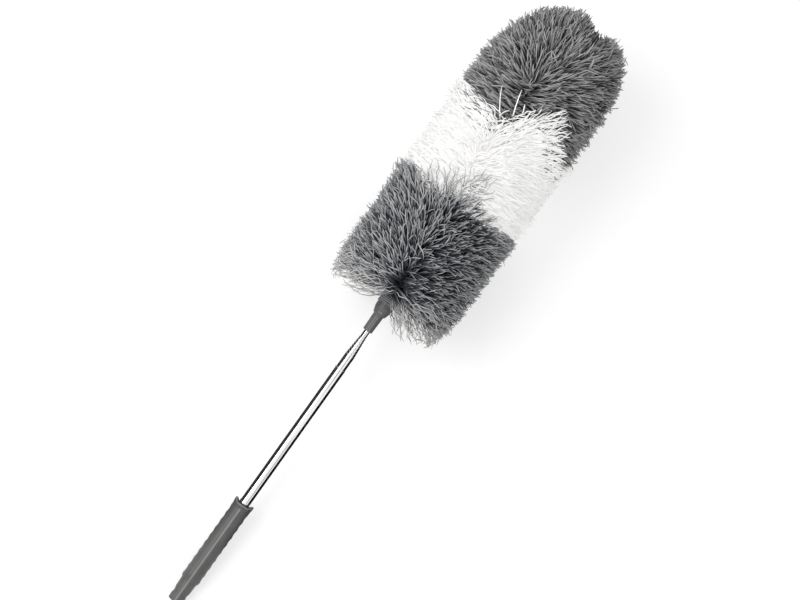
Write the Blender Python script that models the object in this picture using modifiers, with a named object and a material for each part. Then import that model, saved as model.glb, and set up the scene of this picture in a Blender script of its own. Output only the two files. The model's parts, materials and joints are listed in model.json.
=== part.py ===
"""Extendable duster with a moulded handle, nine telescoping steel tubes and a strand head.

Lengths are in metres. The pole's own frame has +Z from the handle towards the head, with zero
at the handle's rim, and +X towards the surface that the duster lies on. An empty carries every
piece and lays the pole down, so that the tail of the handle and the fluff rest on the surface.
"""
import math
import random

import bmesh
import bpy
from mathutils import Matrix

# Handle
GRIP_LENGTH = 0.1000
GRIP_RADIUS = 0.0104
GRIP_WALL = 0.0022
RIM_FLARE = 0.0007
RIM_FLARE_LENGTH = 0.0080
RIM_FILLET = 0.0008
RIM_SCOOP_DEPTH = 0.0035
RIM_STEPS = 3
GRIP_FILLET = 0.0018
MOUTH_LENGTH = 0.0140
SCALLOP_COUNT = 9
SCALLOP_DEPTH = 0.0008
SCALLOP_LAND = 0.0009
SCALLOP_MARGIN_TOP = 0.0100
SCALLOP_MARGIN_BOTTOM = 0.0045

# End cap with its cross hole for a hook
TAIL_LENGTH = 0.0250
TAIL_STEP = 0.0016
TAIL_TAPER = 0.0006
TAIL_FILLET = 0.0022
HOOK_HOLE_RADIUS = 0.0040
HOOK_HOLE_FROM_END = 0.0100
SPIGOT_LENGTH = 0.0120
SPIGOT_CHAMFER = 0.0008

# Telescoping tubes
TUBE_COUNT = 9
FIRST_TUBE_RADIUS = 0.005875
TUBE_WALL = 0.00016
TUBE_RADIAL_GAP = 0.0001525
FIRST_TUBE_TOP = 0.1690
SECOND_TUBE_STEP = 0.0174
TOP_STEP = 0.0036
BOTTOM_STEP = 0.0080
LIP_LENGTH = 0.0012
LIP_CLEARANCE = 0.000035
LIP_ROLL = 0.00012
NECK_DEPTH = 0.00010
NECK_LENGTH = 0.0060
FLARE_LENGTH = 0.0008
SLEEVE_CLEARANCE = 0.00003
SLEEVE_END_CLEARANCE = 0.00010
SLEEVE_SLOT = 0.0012

# Pieces inside the handle and at the pole's tip
SEAT_GAP = 0.0052
SEAT_FLOOR = 0.0025
SEAT_DEPTH = 0.0120
PLUG_HEIGHT = 0.0050
PLUG_CROWN = 0.0008
STUD_PLUG_LENGTH = 0.0120
STUD_COLLAR = 0.0012
STUD_SPIGOT_RADIUS = 0.0023
STUD_SPIGOT_LENGTH = 0.0060
STUD_CHAMFER = 0.0005

# Connector between pole and head
CONNECTOR_STANDOFF = 0.0083
SOCKET_WALL = 0.0016
SOCKET_LENGTH = 0.0200
SOCKET_TAPER = 0.0005
SOCKET_OVERLAP = 0.0150
SHOULDER_LENGTH = 0.0080
SHOULDER_LEDGE = 0.0012
SHOULDER_LEDGE_LENGTH = 0.0008
SHOULDER_STEPS = 3
CUP_LENGTH = 0.0130
CUP_WALL = 0.0040
CUP_FLOOR = 0.0020
CUP_FILLET = 0.0010
RIB_WIDTH = 0.0022
RIB_HEIGHT = 0.0006
RIB_SINK = 0.0009
RIB_TOP_MARGIN = 0.0036
NUB_RADIUS = 0.0014
NUB_DROP = 0.0024
NUB_SINK = 0.0010

# Head: core, cuff and backing
CORE_RADIUS = 0.0050
CORE_BORE = 0.0032
CUFF_THICKNESS = 0.0009
CUFF_OVERLAP = 0.0080
CUFF_NECK_LENGTH = 0.0095
CUFF_GATHER = 0.0018
CUFF_STEPS = 4
BACKING_THICKNESS = 0.0033
BACKING_LENGTH = 0.2960
CAP_HEIGHT = 0.0030
CAP_FILLET = 0.0018
CAP_SPIGOT_LENGTH = 0.0080

# Head: fluff
FLUFF_RADIUS = 0.0716
FLUFF_SKIRT_DROP = 0.0230
FLUFF_SKIRT_RADIUS = 0.0600
FLUFF_CORNER_DROP = 0.0060
FLUFF_DOME_LENGTH = 0.0800
FLUFF_NOSE_REACH = 0.0480
ROOT_MARGIN = 0.0040
RINGS_PER_PILE = (10, 7, 11)
STRANDS_PER_RING = 12
FEWEST_STRANDS = 3
STRAND_SIDES = 3
STRAND_ROOT_RADIUS = 0.0013
STRAND_BELLY_RADIUS = 0.0038
STRAND_TIP_RADIUS = 0.0013
STRAND_WIDTH_RATIO = 1.40
BELLY_SHARE = 0.72
STRAND_BOW = 0.0045
STRAND_TWIST_DEGREES = 7.0
STRAND_SPACING = 0.0016
LENGTH_SCATTER = 0.0022
FLUFF_SINK = 0.0050
FLAT_CUT_DEPTH = 0.0005

# Fits
FIT = 0.0003
PLUG_FIT = 0.00010
SEAM = 0.0003

# Sides of round pieces
HANDLE_SIDES = 32
TUBE_SIDES = 18
SMALL_SIDES = 20
BACKING_SIDES = 12
HOLE_SIDES = 20
SCOOP_SIDES = 60
SCALLOP_STEPS = 5
NUB_SIDES = 12
NUB_RINGS = 8

# A cutter that passes through a piece is this many times as long as what it cuts
CUTTER_REACH = 4
WELD_DISTANCE = 0.00001

GREY_PLASTIC = ("grey_plastic", (0.127, 0.127, 0.122), 0.42, 0.0)
INNER_PLASTIC = ("inner_plastic", (0.060, 0.060, 0.060), 0.50, 0.0)
CHROMED_STEEL = ("chromed_steel", (0.780, 0.780, 0.790), 0.08, 1.0)
SPRING_BRASS = ("spring_brass", (0.640, 0.480, 0.200), 0.30, 1.0)
GREY_FIBRE = ("grey_fibre", (0.130, 0.135, 0.150), 0.85, 0.0)
WHITE_FIBRE = ("white_fibre", (0.830, 0.830, 0.820), 0.85, 0.0)

SEED = 7


def clear_scene():
    """Remove every object that the file opened with."""
    for item in list(bpy.data.objects):
        bpy.data.objects.remove(item, do_unlink=True)


def new_collection(name):
    """A collection linked to the scene."""
    group = bpy.data.collections.new(name)
    bpy.context.scene.collection.children.link(group)
    return group


def make_material(finish):
    """Principled material from a name, a colour, a roughness and a metallic value."""
    name, colour, roughness, metallic = finish
    known = bpy.data.materials.get(name)
    if known:
        return known
    material = bpy.data.materials.new(name)
    material.use_nodes = True
    shader = material.node_tree.nodes["Principled BSDF"]
    shader.inputs["Base Color"].default_value = (*colour, 1.0)
    shader.inputs["Roughness"].default_value = roughness
    shader.inputs["Metallic"].default_value = metallic
    return material


def add_piece(name, mesh, finish):
    """A named piece of the duster on the pole's axis, carried by the pole's empty."""
    piece = bpy.data.objects.new(name, mesh)
    mesh.materials.append(make_material(finish))
    pieces.objects.link(piece)
    piece.parent = pole
    return piece


def add_cutter(name, mesh):
    """A hidden shape for a Boolean, in the pole's frame."""
    cutter = bpy.data.objects.new(name, mesh)
    cutters.objects.link(cutter)
    cutter.parent = pole
    cutter.hide_render = True
    cutter.display_type = "WIRE"
    return cutter


def boolean(piece, other, operation):
    """Cut or join another shape with a piece."""
    modifier = piece.modifiers.new(other.name, "BOOLEAN")
    modifier.operation = operation
    modifier.solver = "EXACT"
    modifier.object = other


def arc(centre, radius, start_degrees, end_degrees, steps):
    """Points of an arc in the profile plane, from one angle to another."""
    points = []
    for step in range(steps + 1):
        angle = math.radians(start_degrees + (end_degrees - start_degrees) * step / steps)
        points.append((centre[0] + radius * math.cos(angle), centre[1] + radius * math.sin(angle)))
    return points


def eased(start, end, steps):
    """Points from one place to another, along half a cosine wave that is level with the axis."""
    points = []
    for step in range(steps + 1):
        part = step / steps
        across = (1 - math.cos(math.pi * part)) / 2
        radius = start[0] + (end[0] - start[0]) * across
        points.append((radius, start[1] + (end[1] - start[1]) * part))
    return points


def turned(name, profile, sides, finish, closed=True):
    """A turned piece: a profile of (radius, height) points swept once round the axis.

    The profile runs down the outer side. A closed one comes back up the bore, and an open
    one starts and ends on the axis.
    """
    mesh = bpy.data.meshes.new(name)
    count = len(profile)
    edges = [(index, index + 1) for index in range(count - 1)]
    if closed:
        edges.append((count - 1, 0))
    mesh.from_pydata([(radius, 0.0, height) for radius, height in profile], edges, [])
    piece = add_piece(name, mesh, finish)
    screw = piece.modifiers.new("turn", "SCREW")
    screw.axis = "Z"
    screw.angle = math.tau
    screw.steps = sides
    screw.render_steps = sides
    screw.use_merge_vertices = True
    screw.merge_threshold = WELD_DISTANCE
    screw.use_smooth_shade = True
    return piece


def cylinder_mesh(name, radius, length, sides, place, axis):
    """A cylinder along X or Y, centred on a place."""
    turn = Matrix.Rotation(math.radians(90), 3, "Y" if axis == "X" else "X")
    shape = bmesh.new()
    made = bmesh.ops.create_cone(
        shape, cap_ends=True, segments=sides, radius1=radius, radius2=radius, depth=length
    )
    bmesh.ops.rotate(shape, verts=made["verts"], cent=(0, 0, 0), matrix=turn)
    bmesh.ops.translate(shape, verts=made["verts"], vec=place)
    mesh = bpy.data.meshes.new(name)
    shape.to_mesh(mesh)
    shape.free()
    return mesh


def box_mesh(name, size, place):
    """A box of a size, centred on a place."""
    shape = bmesh.new()
    made = bmesh.ops.create_cube(shape, size=1.0)
    bmesh.ops.scale(shape, verts=made["verts"], vec=size)
    bmesh.ops.translate(shape, verts=made["verts"], vec=place)
    mesh = bpy.data.meshes.new(name)
    shape.to_mesh(mesh)
    shape.free()
    return mesh


def tube_radius(number):
    """Outer radius of a tube, counted from 1 at the handle."""
    return FIRST_TUBE_RADIUS - (number - 1) * (TUBE_WALL + TUBE_RADIAL_GAP)


def tube_bottom(number):
    """Height of a tube's lower end with the pole pushed together."""
    return FIRST_TUBE_BOTTOM + (number - 1) * BOTTOM_STEP


def tube_top(number):
    """Height of a tube's upper end with the pole pushed together."""
    if number == 1:
        return FIRST_TUBE_TOP
    if number == TUBE_COUNT:
        return CONNECTOR_BOTTOM + SOCKET_OVERLAP
    return FIRST_TUBE_TOP + SECOND_TUBE_STEP + (number - 2) * TOP_STEP


def slide_travel(number):
    """How far a tube slides out before its sleeve meets the outer tube's lip."""
    sleeve_top = tube_bottom(number) + FLARE_LENGTH + NECK_LENGTH
    return tube_top(number - 1) - LIP_LENGTH - sleeve_top - FIT


# Sizes that follow from the ones above
CAVITY_RADIUS = GRIP_RADIUS - GRIP_WALL
TAIL_RADIUS = GRIP_RADIUS - TAIL_STEP
TAIL_END = -GRIP_LENGTH - TAIL_LENGTH
SPIGOT_TOP = SPIGOT_LENGTH - GRIP_LENGTH
FIRST_TUBE_BOTTOM = SPIGOT_TOP + SEAT_GAP + SEAT_FLOOR + FIT
CONNECTOR_BOTTOM = tube_top(TUBE_COUNT - 1) + CONNECTOR_STANDOFF
SOCKET_BORE = tube_radius(TUBE_COUNT) + FIT
SOCKET_RADIUS = SOCKET_BORE + SOCKET_WALL
SHOULDER_BOTTOM = CONNECTOR_BOTTOM + SOCKET_LENGTH
CUP_BOTTOM = SHOULDER_BOTTOM + SHOULDER_LENGTH
CUP_TOP = CUP_BOTTOM + CUP_LENGTH
CUP_RADIUS = CORE_RADIUS + FIT + CUP_WALL
CORE_BOTTOM = CUP_BOTTOM + CUP_FLOOR
BACKING_BOTTOM = CUP_TOP + FIT + CUFF_NECK_LENGTH
BACKING_TOP = BACKING_BOTTOM + BACKING_LENGTH
BACKING_INNER = CORE_RADIUS + FIT
BACKING_OUTER = BACKING_INNER + BACKING_THICKNESS
CORE_TOP = BACKING_TOP - BACKING_THICKNESS - CAP_HEIGHT - 2 * FIT
FIRST_ROOT = BACKING_BOTTOM + ROOT_MARGIN
LAST_ROOT = CORE_TOP
FLUFF_CORNER = BACKING_BOTTOM - FLUFF_CORNER_DROP
FLUFF_DOME_START = BACKING_TOP + FLUFF_NOSE_REACH - FLUFF_DOME_LENGTH
FLUFF_STRAIGHT_LENGTH = FLUFF_DOME_START - FLUFF_CORNER
RING_COUNT = sum(RINGS_PER_PILE)
ROOT_PITCH = (LAST_ROOT - FIRST_ROOT) / (RING_COUNT - 1)

# The duster lies on the lowest corner of its tail and on the fluff, which gives way a little
REST_TILT = math.atan2(
    FLUFF_RADIUS - FLUFF_SINK - (TAIL_RADIUS - TAIL_TAPER),
    FLUFF_CORNER - TAIL_END - TAIL_FILLET,
)
REST_HEIGHT = (
    (TAIL_RADIUS - TAIL_TAPER - TAIL_FILLET) * math.cos(REST_TILT)
    + TAIL_FILLET
    - (TAIL_END + TAIL_FILLET) * math.sin(REST_TILT)
)
NOSE_REACH = FLUFF_DOME_START * math.cos(REST_TILT) + math.hypot(
    FLUFF_DOME_LENGTH * math.cos(REST_TILT), FLUFF_RADIUS * math.sin(REST_TILT)
)
TAIL_REACH = TAIL_END * math.cos(REST_TILT) - (TAIL_RADIUS - TAIL_TAPER) * math.sin(REST_TILT)
REST_CENTRE = -(NOSE_REACH + TAIL_REACH) / 2


def height_above_rest(point):
    """Height of a point of the pole's frame above the surface that the duster lies on."""
    return REST_HEIGHT - point[0] * math.cos(REST_TILT) + point[2] * math.sin(REST_TILT)


def make_grip():
    """Handle shell: flared rim scooped front and back, scalloped sides, open bore."""
    rim_radius = GRIP_RADIUS + RIM_FLARE
    mouth_radius = tube_radius(1) + FIT
    mouth_chamfer = CAVITY_RADIUS - mouth_radius
    profile = arc((rim_radius - RIM_FILLET, -RIM_FILLET), RIM_FILLET, 90, 0, 4)
    rim = (rim_radius, -RIM_FILLET)
    profile += eased(rim, (GRIP_RADIUS, -RIM_FLARE_LENGTH), RIM_STEPS)[1:]
    profile += arc((GRIP_RADIUS - GRIP_FILLET, GRIP_FILLET - GRIP_LENGTH), GRIP_FILLET, 0, -90, 5)
    profile += [
        (CAVITY_RADIUS, -GRIP_LENGTH),
        (CAVITY_RADIUS, -MOUTH_LENGTH - mouth_chamfer),
        (mouth_radius, -MOUTH_LENGTH),
        (mouth_radius, 0.0),
    ]
    grip = turned("grip", profile, HANDLE_SIDES, GREY_PLASTIC)

    scoop_radius = (rim_radius**2 + RIM_SCOOP_DEPTH**2) / (2 * RIM_SCOOP_DEPTH)
    scoop = cylinder_mesh(
        "rim_scoop",
        scoop_radius,
        GRIP_RADIUS * CUTTER_REACH,
        SCOOP_SIDES,
        (0.0, 0.0, scoop_radius - RIM_SCOOP_DEPTH),
        "X",
    )
    boolean(grip, add_cutter("rim_scoop", scoop), "DIFFERENCE")

    for side, label in ((1, "left"), (-1, "right")):
        scallops = scallop_mesh("scallops_" + label, side)
        boolean(grip, add_cutter("scallops_" + label, scallops), "DIFFERENCE")


def scallop_mesh(name, side):
    """A strip beside the grip whose inner edge is a row of arcs, extruded from front to back."""
    pitch = (GRIP_LENGTH - SCALLOP_MARGIN_TOP - SCALLOP_MARGIN_BOTTOM) / SCALLOP_COUNT
    half_width = (pitch - SCALLOP_LAND) / 2
    radius = (half_width**2 + SCALLOP_DEPTH**2) / (2 * SCALLOP_DEPTH)
    centre = GRIP_RADIUS - SCALLOP_DEPTH + radius
    half_angle = math.degrees(math.asin(half_width / radius))
    outline = []
    for index in range(SCALLOP_COUNT):
        height = -SCALLOP_MARGIN_TOP - (index + 0.5) * pitch
        # The arc bulges towards the grip, so its angles run round the side that faces the axis
        outline += arc((centre, height), radius, 180 - half_angle, 180 + half_angle, SCALLOP_STEPS)
    outline.append((centre, outline[-1][1]))
    outline.append((centre, outline[0][1]))
    data = bpy.data.curves.new(name, "CURVE")
    data.dimensions = "2D"
    data.fill_mode = "BOTH"
    data.extrude = GRIP_RADIUS
    spline = data.splines.new("POLY")
    spline.points.add(len(outline) - 1)
    spline.use_cyclic_u = True
    for point, (across, height) in zip(spline.points, outline):
        point.co = (side * across, height, 0.0, 1.0)
    mesh = mesh_of_curve(name, data)
    # The curve's X, Y and extrusion become the pole's Y, Z and X
    mesh.transform(Matrix(((0, 0, 1, 0), (1, 0, 0, 0), (0, 1, 0, 0), (0, 0, 0, 1))))
    return mesh


def mesh_of_curve(name, data):
    """Closed mesh of a curve with its loose caps welded."""
    curve = bpy.data.objects.new(name, data)
    cutters.objects.link(curve)
    bpy.context.view_layer.update()
    graph = bpy.context.evaluated_depsgraph_get()
    mesh = bpy.data.meshes.new_from_object(curve.evaluated_get(graph))
    shape = bmesh.new()
    shape.from_mesh(mesh)
    bmesh.ops.remove_doubles(shape, verts=shape.verts, dist=WELD_DISTANCE)
    bmesh.ops.recalc_face_normals(shape, faces=shape.faces)
    shape.to_mesh(mesh)
    shape.free()
    bpy.data.objects.remove(curve, do_unlink=True)
    return mesh


def make_end_cap():
    """Tail of the handle: a stub with a rounded edge, a spigot in the grip and a cross hole."""
    end_radius = TAIL_RADIUS - TAIL_TAPER
    shoulder = -GRIP_LENGTH - SEAM
    spigot_radius = CAVITY_RADIUS - FIT
    profile = [
        (0.0, SPIGOT_TOP),
        (spigot_radius - SPIGOT_CHAMFER, SPIGOT_TOP),
        (spigot_radius, SPIGOT_TOP - SPIGOT_CHAMFER),
        (spigot_radius, shoulder),
        (TAIL_RADIUS, shoulder),
    ]
    profile += arc((end_radius - TAIL_FILLET, TAIL_END + TAIL_FILLET), TAIL_FILLET, 0, -90, 5)
    profile.append((0.0, TAIL_END))
    cap = turned("end_cap", profile, HANDLE_SIDES, GREY_PLASTIC, closed=False)
    place = (0.0, 0.0, TAIL_END + HOOK_HOLE_FROM_END)
    length = TAIL_RADIUS * CUTTER_REACH
    hole = cylinder_mesh("hook_hole", HOOK_HOLE_RADIUS, length, HOLE_SIDES, place, "Y")
    boolean(cap, add_cutter("hook_hole", hole), "DIFFERENCE")


def make_tube_seat():
    """Cup inside the grip that the first tube's lower end stands in."""
    outer = CAVITY_RADIUS - FIT
    inner = tube_radius(1) + PLUG_FIT
    top = FIRST_TUBE_BOTTOM + SEAT_DEPTH
    floor = FIRST_TUBE_BOTTOM - FIT
    profile = [
        (0.0, floor),
        (inner, floor),
        (inner, top),
        (outer, top),
        (outer, floor - SEAT_FLOOR),
        (0.0, floor - SEAT_FLOOR),
    ]
    turned("tube_seat", profile, HANDLE_SIDES, INNER_PLASTIC, closed=False)


def make_base_plug():
    """Stopper in the lower end of the first tube, with a domed top."""
    radius = tube_radius(1) - TUBE_WALL - PLUG_FIT
    bottom = FIRST_TUBE_BOTTOM
    top = bottom + PLUG_HEIGHT
    middle = radius / 2
    profile = [
        (0.0, top),
        (middle, top - PLUG_CROWN * (middle / radius) ** 2),
        (radius, top - PLUG_CROWN),
        (radius, bottom),
        (0.0, bottom),
    ]
    turned("base_plug", profile, TUBE_SIDES, INNER_PLASTIC, closed=False)


def make_tube(number):
    """One tube: rolled lip at the top, and a neck with a flare below it for the sleeve."""
    radius = tube_radius(number)
    bore = radius - TUBE_WALL
    top = tube_top(number)
    bottom = tube_bottom(number)
    profile = []
    if number < TUBE_COUNT:
        lip = tube_radius(number + 1) + LIP_CLEARANCE
        profile += [(lip, top), (radius - LIP_ROLL, top), (radius, top - LIP_ROLL)]
    else:
        profile += [(bore, top), (radius, top)]
    if number > 1:
        neck_top = bottom + FLARE_LENGTH + NECK_LENGTH
        neck_bottom = bottom + FLARE_LENGTH
        profile += [
            (radius, neck_top + NECK_DEPTH),
            (radius - NECK_DEPTH, neck_top),
            (radius - NECK_DEPTH, neck_bottom),
            (radius, neck_bottom - NECK_DEPTH),
            (radius, bottom),
            (bore - NECK_DEPTH, bottom),
            (bore - NECK_DEPTH, neck_top + TUBE_WALL),
            (bore, neck_top + NECK_DEPTH + TUBE_WALL),
        ]
    else:
        profile += [(radius, bottom), (bore, bottom)]
    if number < TUBE_COUNT:
        step = bore - lip
        profile += [(bore, top - LIP_LENGTH - step), (lip, top - LIP_LENGTH)]
    turned("tube_%d" % number, profile, TUBE_SIDES, CHROMED_STEEL)


def make_friction_sleeve(number):
    """Split spring sleeve in the neck of a sliding tube."""
    inner = tube_radius(number) - NECK_DEPTH + SLEEVE_CLEARANCE
    outer = tube_radius(number - 1) - TUBE_WALL - SLEEVE_CLEARANCE
    bottom = tube_bottom(number) + FLARE_LENGTH + SLEEVE_END_CLEARANCE
    top = tube_bottom(number) + FLARE_LENGTH + NECK_LENGTH - SLEEVE_END_CLEARANCE
    profile = [(inner, top), (outer, top), (outer, bottom), (inner, bottom)]
    name = "friction_sleeve_%d" % number
    sleeve = turned(name, profile, TUBE_SIDES, SPRING_BRASS)
    middle = (-(inner + outer) / 2, 0.0, (top + bottom) / 2)
    size = ((outer - inner) * CUTTER_REACH, SLEEVE_SLOT, (top - bottom) * CUTTER_REACH)
    slot = add_cutter("slot_of_" + name, box_mesh("slot_of_" + name, size, middle))
    boolean(sleeve, slot, "DIFFERENCE")


def make_tip_stud():
    """Plug in the last tube's end, with the spigot that the connector turns on."""
    plug_radius = tube_radius(TUBE_COUNT) - TUBE_WALL - PLUG_FIT
    tube_end = tube_top(TUBE_COUNT)
    collar_bottom = tube_end + PLUG_FIT
    collar_top = collar_bottom + STUD_COLLAR
    spigot_top = collar_top + STUD_SPIGOT_LENGTH
    profile = [
        (0.0, spigot_top),
        (STUD_SPIGOT_RADIUS - STUD_CHAMFER, spigot_top),
        (STUD_SPIGOT_RADIUS, spigot_top - STUD_CHAMFER),
        (STUD_SPIGOT_RADIUS, collar_top),
        (tube_radius(TUBE_COUNT), collar_top),
        (tube_radius(TUBE_COUNT), collar_bottom),
        (plug_radius, collar_bottom),
        (plug_radius, tube_end - STUD_PLUG_LENGTH),
        (0.0, tube_end - STUD_PLUG_LENGTH),
    ]
    turned("tip_stud", profile, TUBE_SIDES, INNER_PLASTIC, closed=False)


def make_connector():
    """Socket, shoulder and cup in one moulding, with a raised rib down the front."""
    bore_top = CONNECTOR_BOTTOM + SOCKET_OVERLAP + PLUG_FIT + STUD_COLLAR + FIT
    spigot_bore = STUD_SPIGOT_RADIUS + FIT
    spigot_top = bore_top + STUD_SPIGOT_LENGTH + FIT
    shoulder_start = SOCKET_RADIUS + SOCKET_TAPER
    profile = [
        (0.0, CORE_BOTTOM - FIT),
        (CORE_RADIUS + FIT, CORE_BOTTOM - FIT),
        (CORE_RADIUS + FIT, CUP_TOP),
    ]
    profile += arc((CUP_RADIUS - CUP_FILLET, CUP_TOP - CUP_FILLET), CUP_FILLET, 90, 0, 3)
    ledge = (shoulder_start + SHOULDER_LEDGE, SHOULDER_BOTTOM + SHOULDER_LEDGE_LENGTH)
    profile += eased((CUP_RADIUS, CUP_BOTTOM), ledge, SHOULDER_STEPS)
    profile += [
        (shoulder_start, SHOULDER_BOTTOM),
        (SOCKET_RADIUS, CONNECTOR_BOTTOM),
        (SOCKET_BORE, CONNECTOR_BOTTOM),
        (SOCKET_BORE, bore_top),
        (spigot_bore, bore_top),
        (spigot_bore, spigot_top),
        (0.0, spigot_top),
    ]
    connector = turned("connector", profile, HANDLE_SIDES, GREY_PLASTIC, closed=False)

    rib_bottom = CONNECTOR_BOTTOM + RIB_WIDTH
    rib_top = CUP_BOTTOM - RIB_TOP_MARGIN
    rib_height = shoulder_start + RIB_HEIGHT
    rib_foot = SOCKET_RADIUS - RIB_SINK
    middle = (-(rib_height + rib_foot) / 2, 0.0, (rib_bottom + rib_top) / 2)
    size = (rib_height - rib_foot, RIB_WIDTH, rib_top - rib_bottom)
    rib = add_cutter("connector_rib", box_mesh("connector_rib", size, middle))
    boolean(connector, rib, "UNION")

    shape = bmesh.new()
    made = bmesh.ops.create_uvsphere(
        shape, u_segments=NUB_SIDES, v_segments=NUB_RINGS, radius=NUB_RADIUS
    )
    nub_place = (NUB_SINK - CUP_RADIUS, 0.0, CUP_BOTTOM - NUB_DROP)
    bmesh.ops.translate(shape, verts=made["verts"], vec=nub_place)
    nub_mesh = bpy.data.meshes.new("rib_nub")
    shape.to_mesh(nub_mesh)
    shape.free()
    boolean(connector, add_cutter("rib_nub", nub_mesh), "UNION")


def make_core_rod():
    """Hollow rod of the head, standing in the connector's cup."""
    profile = [
        (CORE_BORE, CORE_TOP),
        (CORE_RADIUS, CORE_TOP),
        (CORE_RADIUS, CORE_BOTTOM),
        (CORE_BORE, CORE_BOTTOM),
    ]
    turned("core_rod", profile, SMALL_SIDES, INNER_PLASTIC)


def make_core_cap():
    """Rounded plug in the core rod's end, under the last of the backing."""
    bottom = CORE_TOP + FIT
    top = bottom + CAP_HEIGHT
    profile = [(0.0, top)]
    profile += arc((CORE_RADIUS - CAP_FILLET, top - CAP_FILLET), CAP_FILLET, 90, 0, 4)
    profile += [
        (CORE_RADIUS, bottom),
        (CORE_BORE - FIT, bottom),
        (CORE_BORE - FIT, CORE_TOP - CAP_SPIGOT_LENGTH),
        (0.0, CORE_TOP - CAP_SPIGOT_LENGTH),
    ]
    turned("core_cap", profile, SMALL_SIDES, INNER_PLASTIC, closed=False)


def make_neck_cuff():
    """Fabric collar gathered over the cup's edge and round the core."""
    inner = CUP_RADIUS + FIT
    outer = inner + CUFF_THICKNESS
    gathered = CORE_RADIUS + FIT
    top = BACKING_BOTTOM - SEAM
    roof = CUP_TOP + FIT
    profile = [(gathered, top)]
    profile += eased((gathered + CUFF_GATHER, top), (outer, roof), CUFF_STEPS)
    profile += [
        (outer, CUP_TOP - CUFF_OVERLAP),
        (inner, CUP_TOP - CUFF_OVERLAP),
        (inner, roof),
        (gathered, roof),
    ]
    turned("neck_cuff", profile, SMALL_SIDES, GREY_FIBRE)


def envelope_point(share):
    """Radius and height on the fluff's outline, from its lower skirt (0) to its nose (1)."""
    skirt = (FLUFF_SKIRT_RADIUS, BACKING_BOTTOM - FLUFF_SKIRT_DROP)
    corner = (FLUFF_RADIUS, FLUFF_CORNER)
    skirt_length = math.hypot(corner[0] - skirt[0], corner[1] - skirt[1])
    dome_length = math.pi / 4 * (FLUFF_RADIUS + FLUFF_DOME_LENGTH)
    distance = share * (skirt_length + FLUFF_STRAIGHT_LENGTH + dome_length)
    if distance < skirt_length:
        part = distance / skirt_length
        return (skirt[0] + part * (corner[0] - skirt[0]), skirt[1] + part * (corner[1] - skirt[1]))
    distance -= skirt_length
    if distance < FLUFF_STRAIGHT_LENGTH:
        return (FLUFF_RADIUS, FLUFF_CORNER + distance)
    angle = (distance - FLUFF_STRAIGHT_LENGTH) / dome_length * math.pi / 2
    return (
        FLUFF_RADIUS * math.cos(angle),
        FLUFF_DOME_START + FLUFF_DOME_LENGTH * math.sin(angle),
    )


def strand_points(root_height, share, around, scatter):
    """Three points of one strand, from inside the backing to the fluff's outline.

    The strand is a bowed curve in the plane through the axis, turned round the axis a little
    more the farther out it gets. A strand that would pass through the surface below ends there.
    """
    tip_radius, tip_height = envelope_point(share)
    root_radius = (BACKING_INNER + BACKING_OUTER) / 2
    span = math.hypot(tip_radius - root_radius, tip_height - root_height)
    twist = math.radians(STRAND_TWIST_DEGREES) * math.sin(root_height / FLUFF_RADIUS * math.pi)

    def place(part):
        bow = STRAND_BOW * 4 * part * (1 - part) * (1 - share)
        radius = root_radius + (tip_radius - root_radius) * part
        height = root_height + (tip_height - root_height) * part - bow
        angle = around + twist * part * part
        return (radius * math.cos(angle), radius * math.sin(angle), height)

    tip_low = height_above_rest(place(1.0))
    if tip_low < -FLAT_CUT_DEPTH:
        root_low = height_above_rest(place(0.0))
        reach = (root_low + FLAT_CUT_DEPTH) / (root_low - tip_low)
    else:
        reach = 1.0 - scatter * LENGTH_SCATTER / span
    return [place(0.0), place(reach * BELLY_SHARE), place(reach)]


def strands_in_ring(share):
    """How many strands a ring holds without their bellies meeting."""
    tip_radius, _ = envelope_point(share)
    root_radius = (BACKING_INNER + BACKING_OUTER) / 2
    belly = root_radius + (tip_radius - root_radius) * BELLY_SHARE
    room = math.tau * belly / (2 * STRAND_BELLY_RADIUS * STRAND_WIDTH_RATIO + STRAND_SPACING)
    return max(FEWEST_STRANDS, min(STRANDS_PER_RING, int(room)))


def strand_curve(name, strands):
    """Three-sided strands, each a poly line that swells and thins, as one mesh.

    The section stays level with the pole's axis, so that each strand is wider round the pole
    than along it.
    """
    outline = bpy.data.curves.new("strand_section", "CURVE")
    outline.dimensions = "2D"
    corners = outline.splines.new("POLY")
    corners.points.add(STRAND_SIDES - 1)
    corners.use_cyclic_u = True
    for index in range(STRAND_SIDES):
        angle = math.pi / 2 + math.tau * index / STRAND_SIDES
        across = STRAND_WIDTH_RATIO * math.cos(angle)
        corners.points[index].co = (across, math.sin(angle), 0.0, 1.0)
    section = bpy.data.objects.new("strand_section", outline)
    cutters.objects.link(section)

    data = bpy.data.curves.new(name, "CURVE")
    data.dimensions = "3D"
    data.twist_mode = "Z_UP"
    data.bevel_mode = "OBJECT"
    data.bevel_object = section
    data.use_fill_caps = True
    thickness = (STRAND_ROOT_RADIUS, STRAND_BELLY_RADIUS, STRAND_TIP_RADIUS)
    for points in strands:
        spline = data.splines.new("POLY")
        spline.points.add(len(points) - 1)
        for index, point in enumerate(points):
            spline.points[index].co = (*point, 1.0)
            spline.points[index].radius = thickness[index]
    mesh = mesh_of_curve(name, data)
    bpy.data.objects.remove(section, do_unlink=True)
    return mesh


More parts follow.
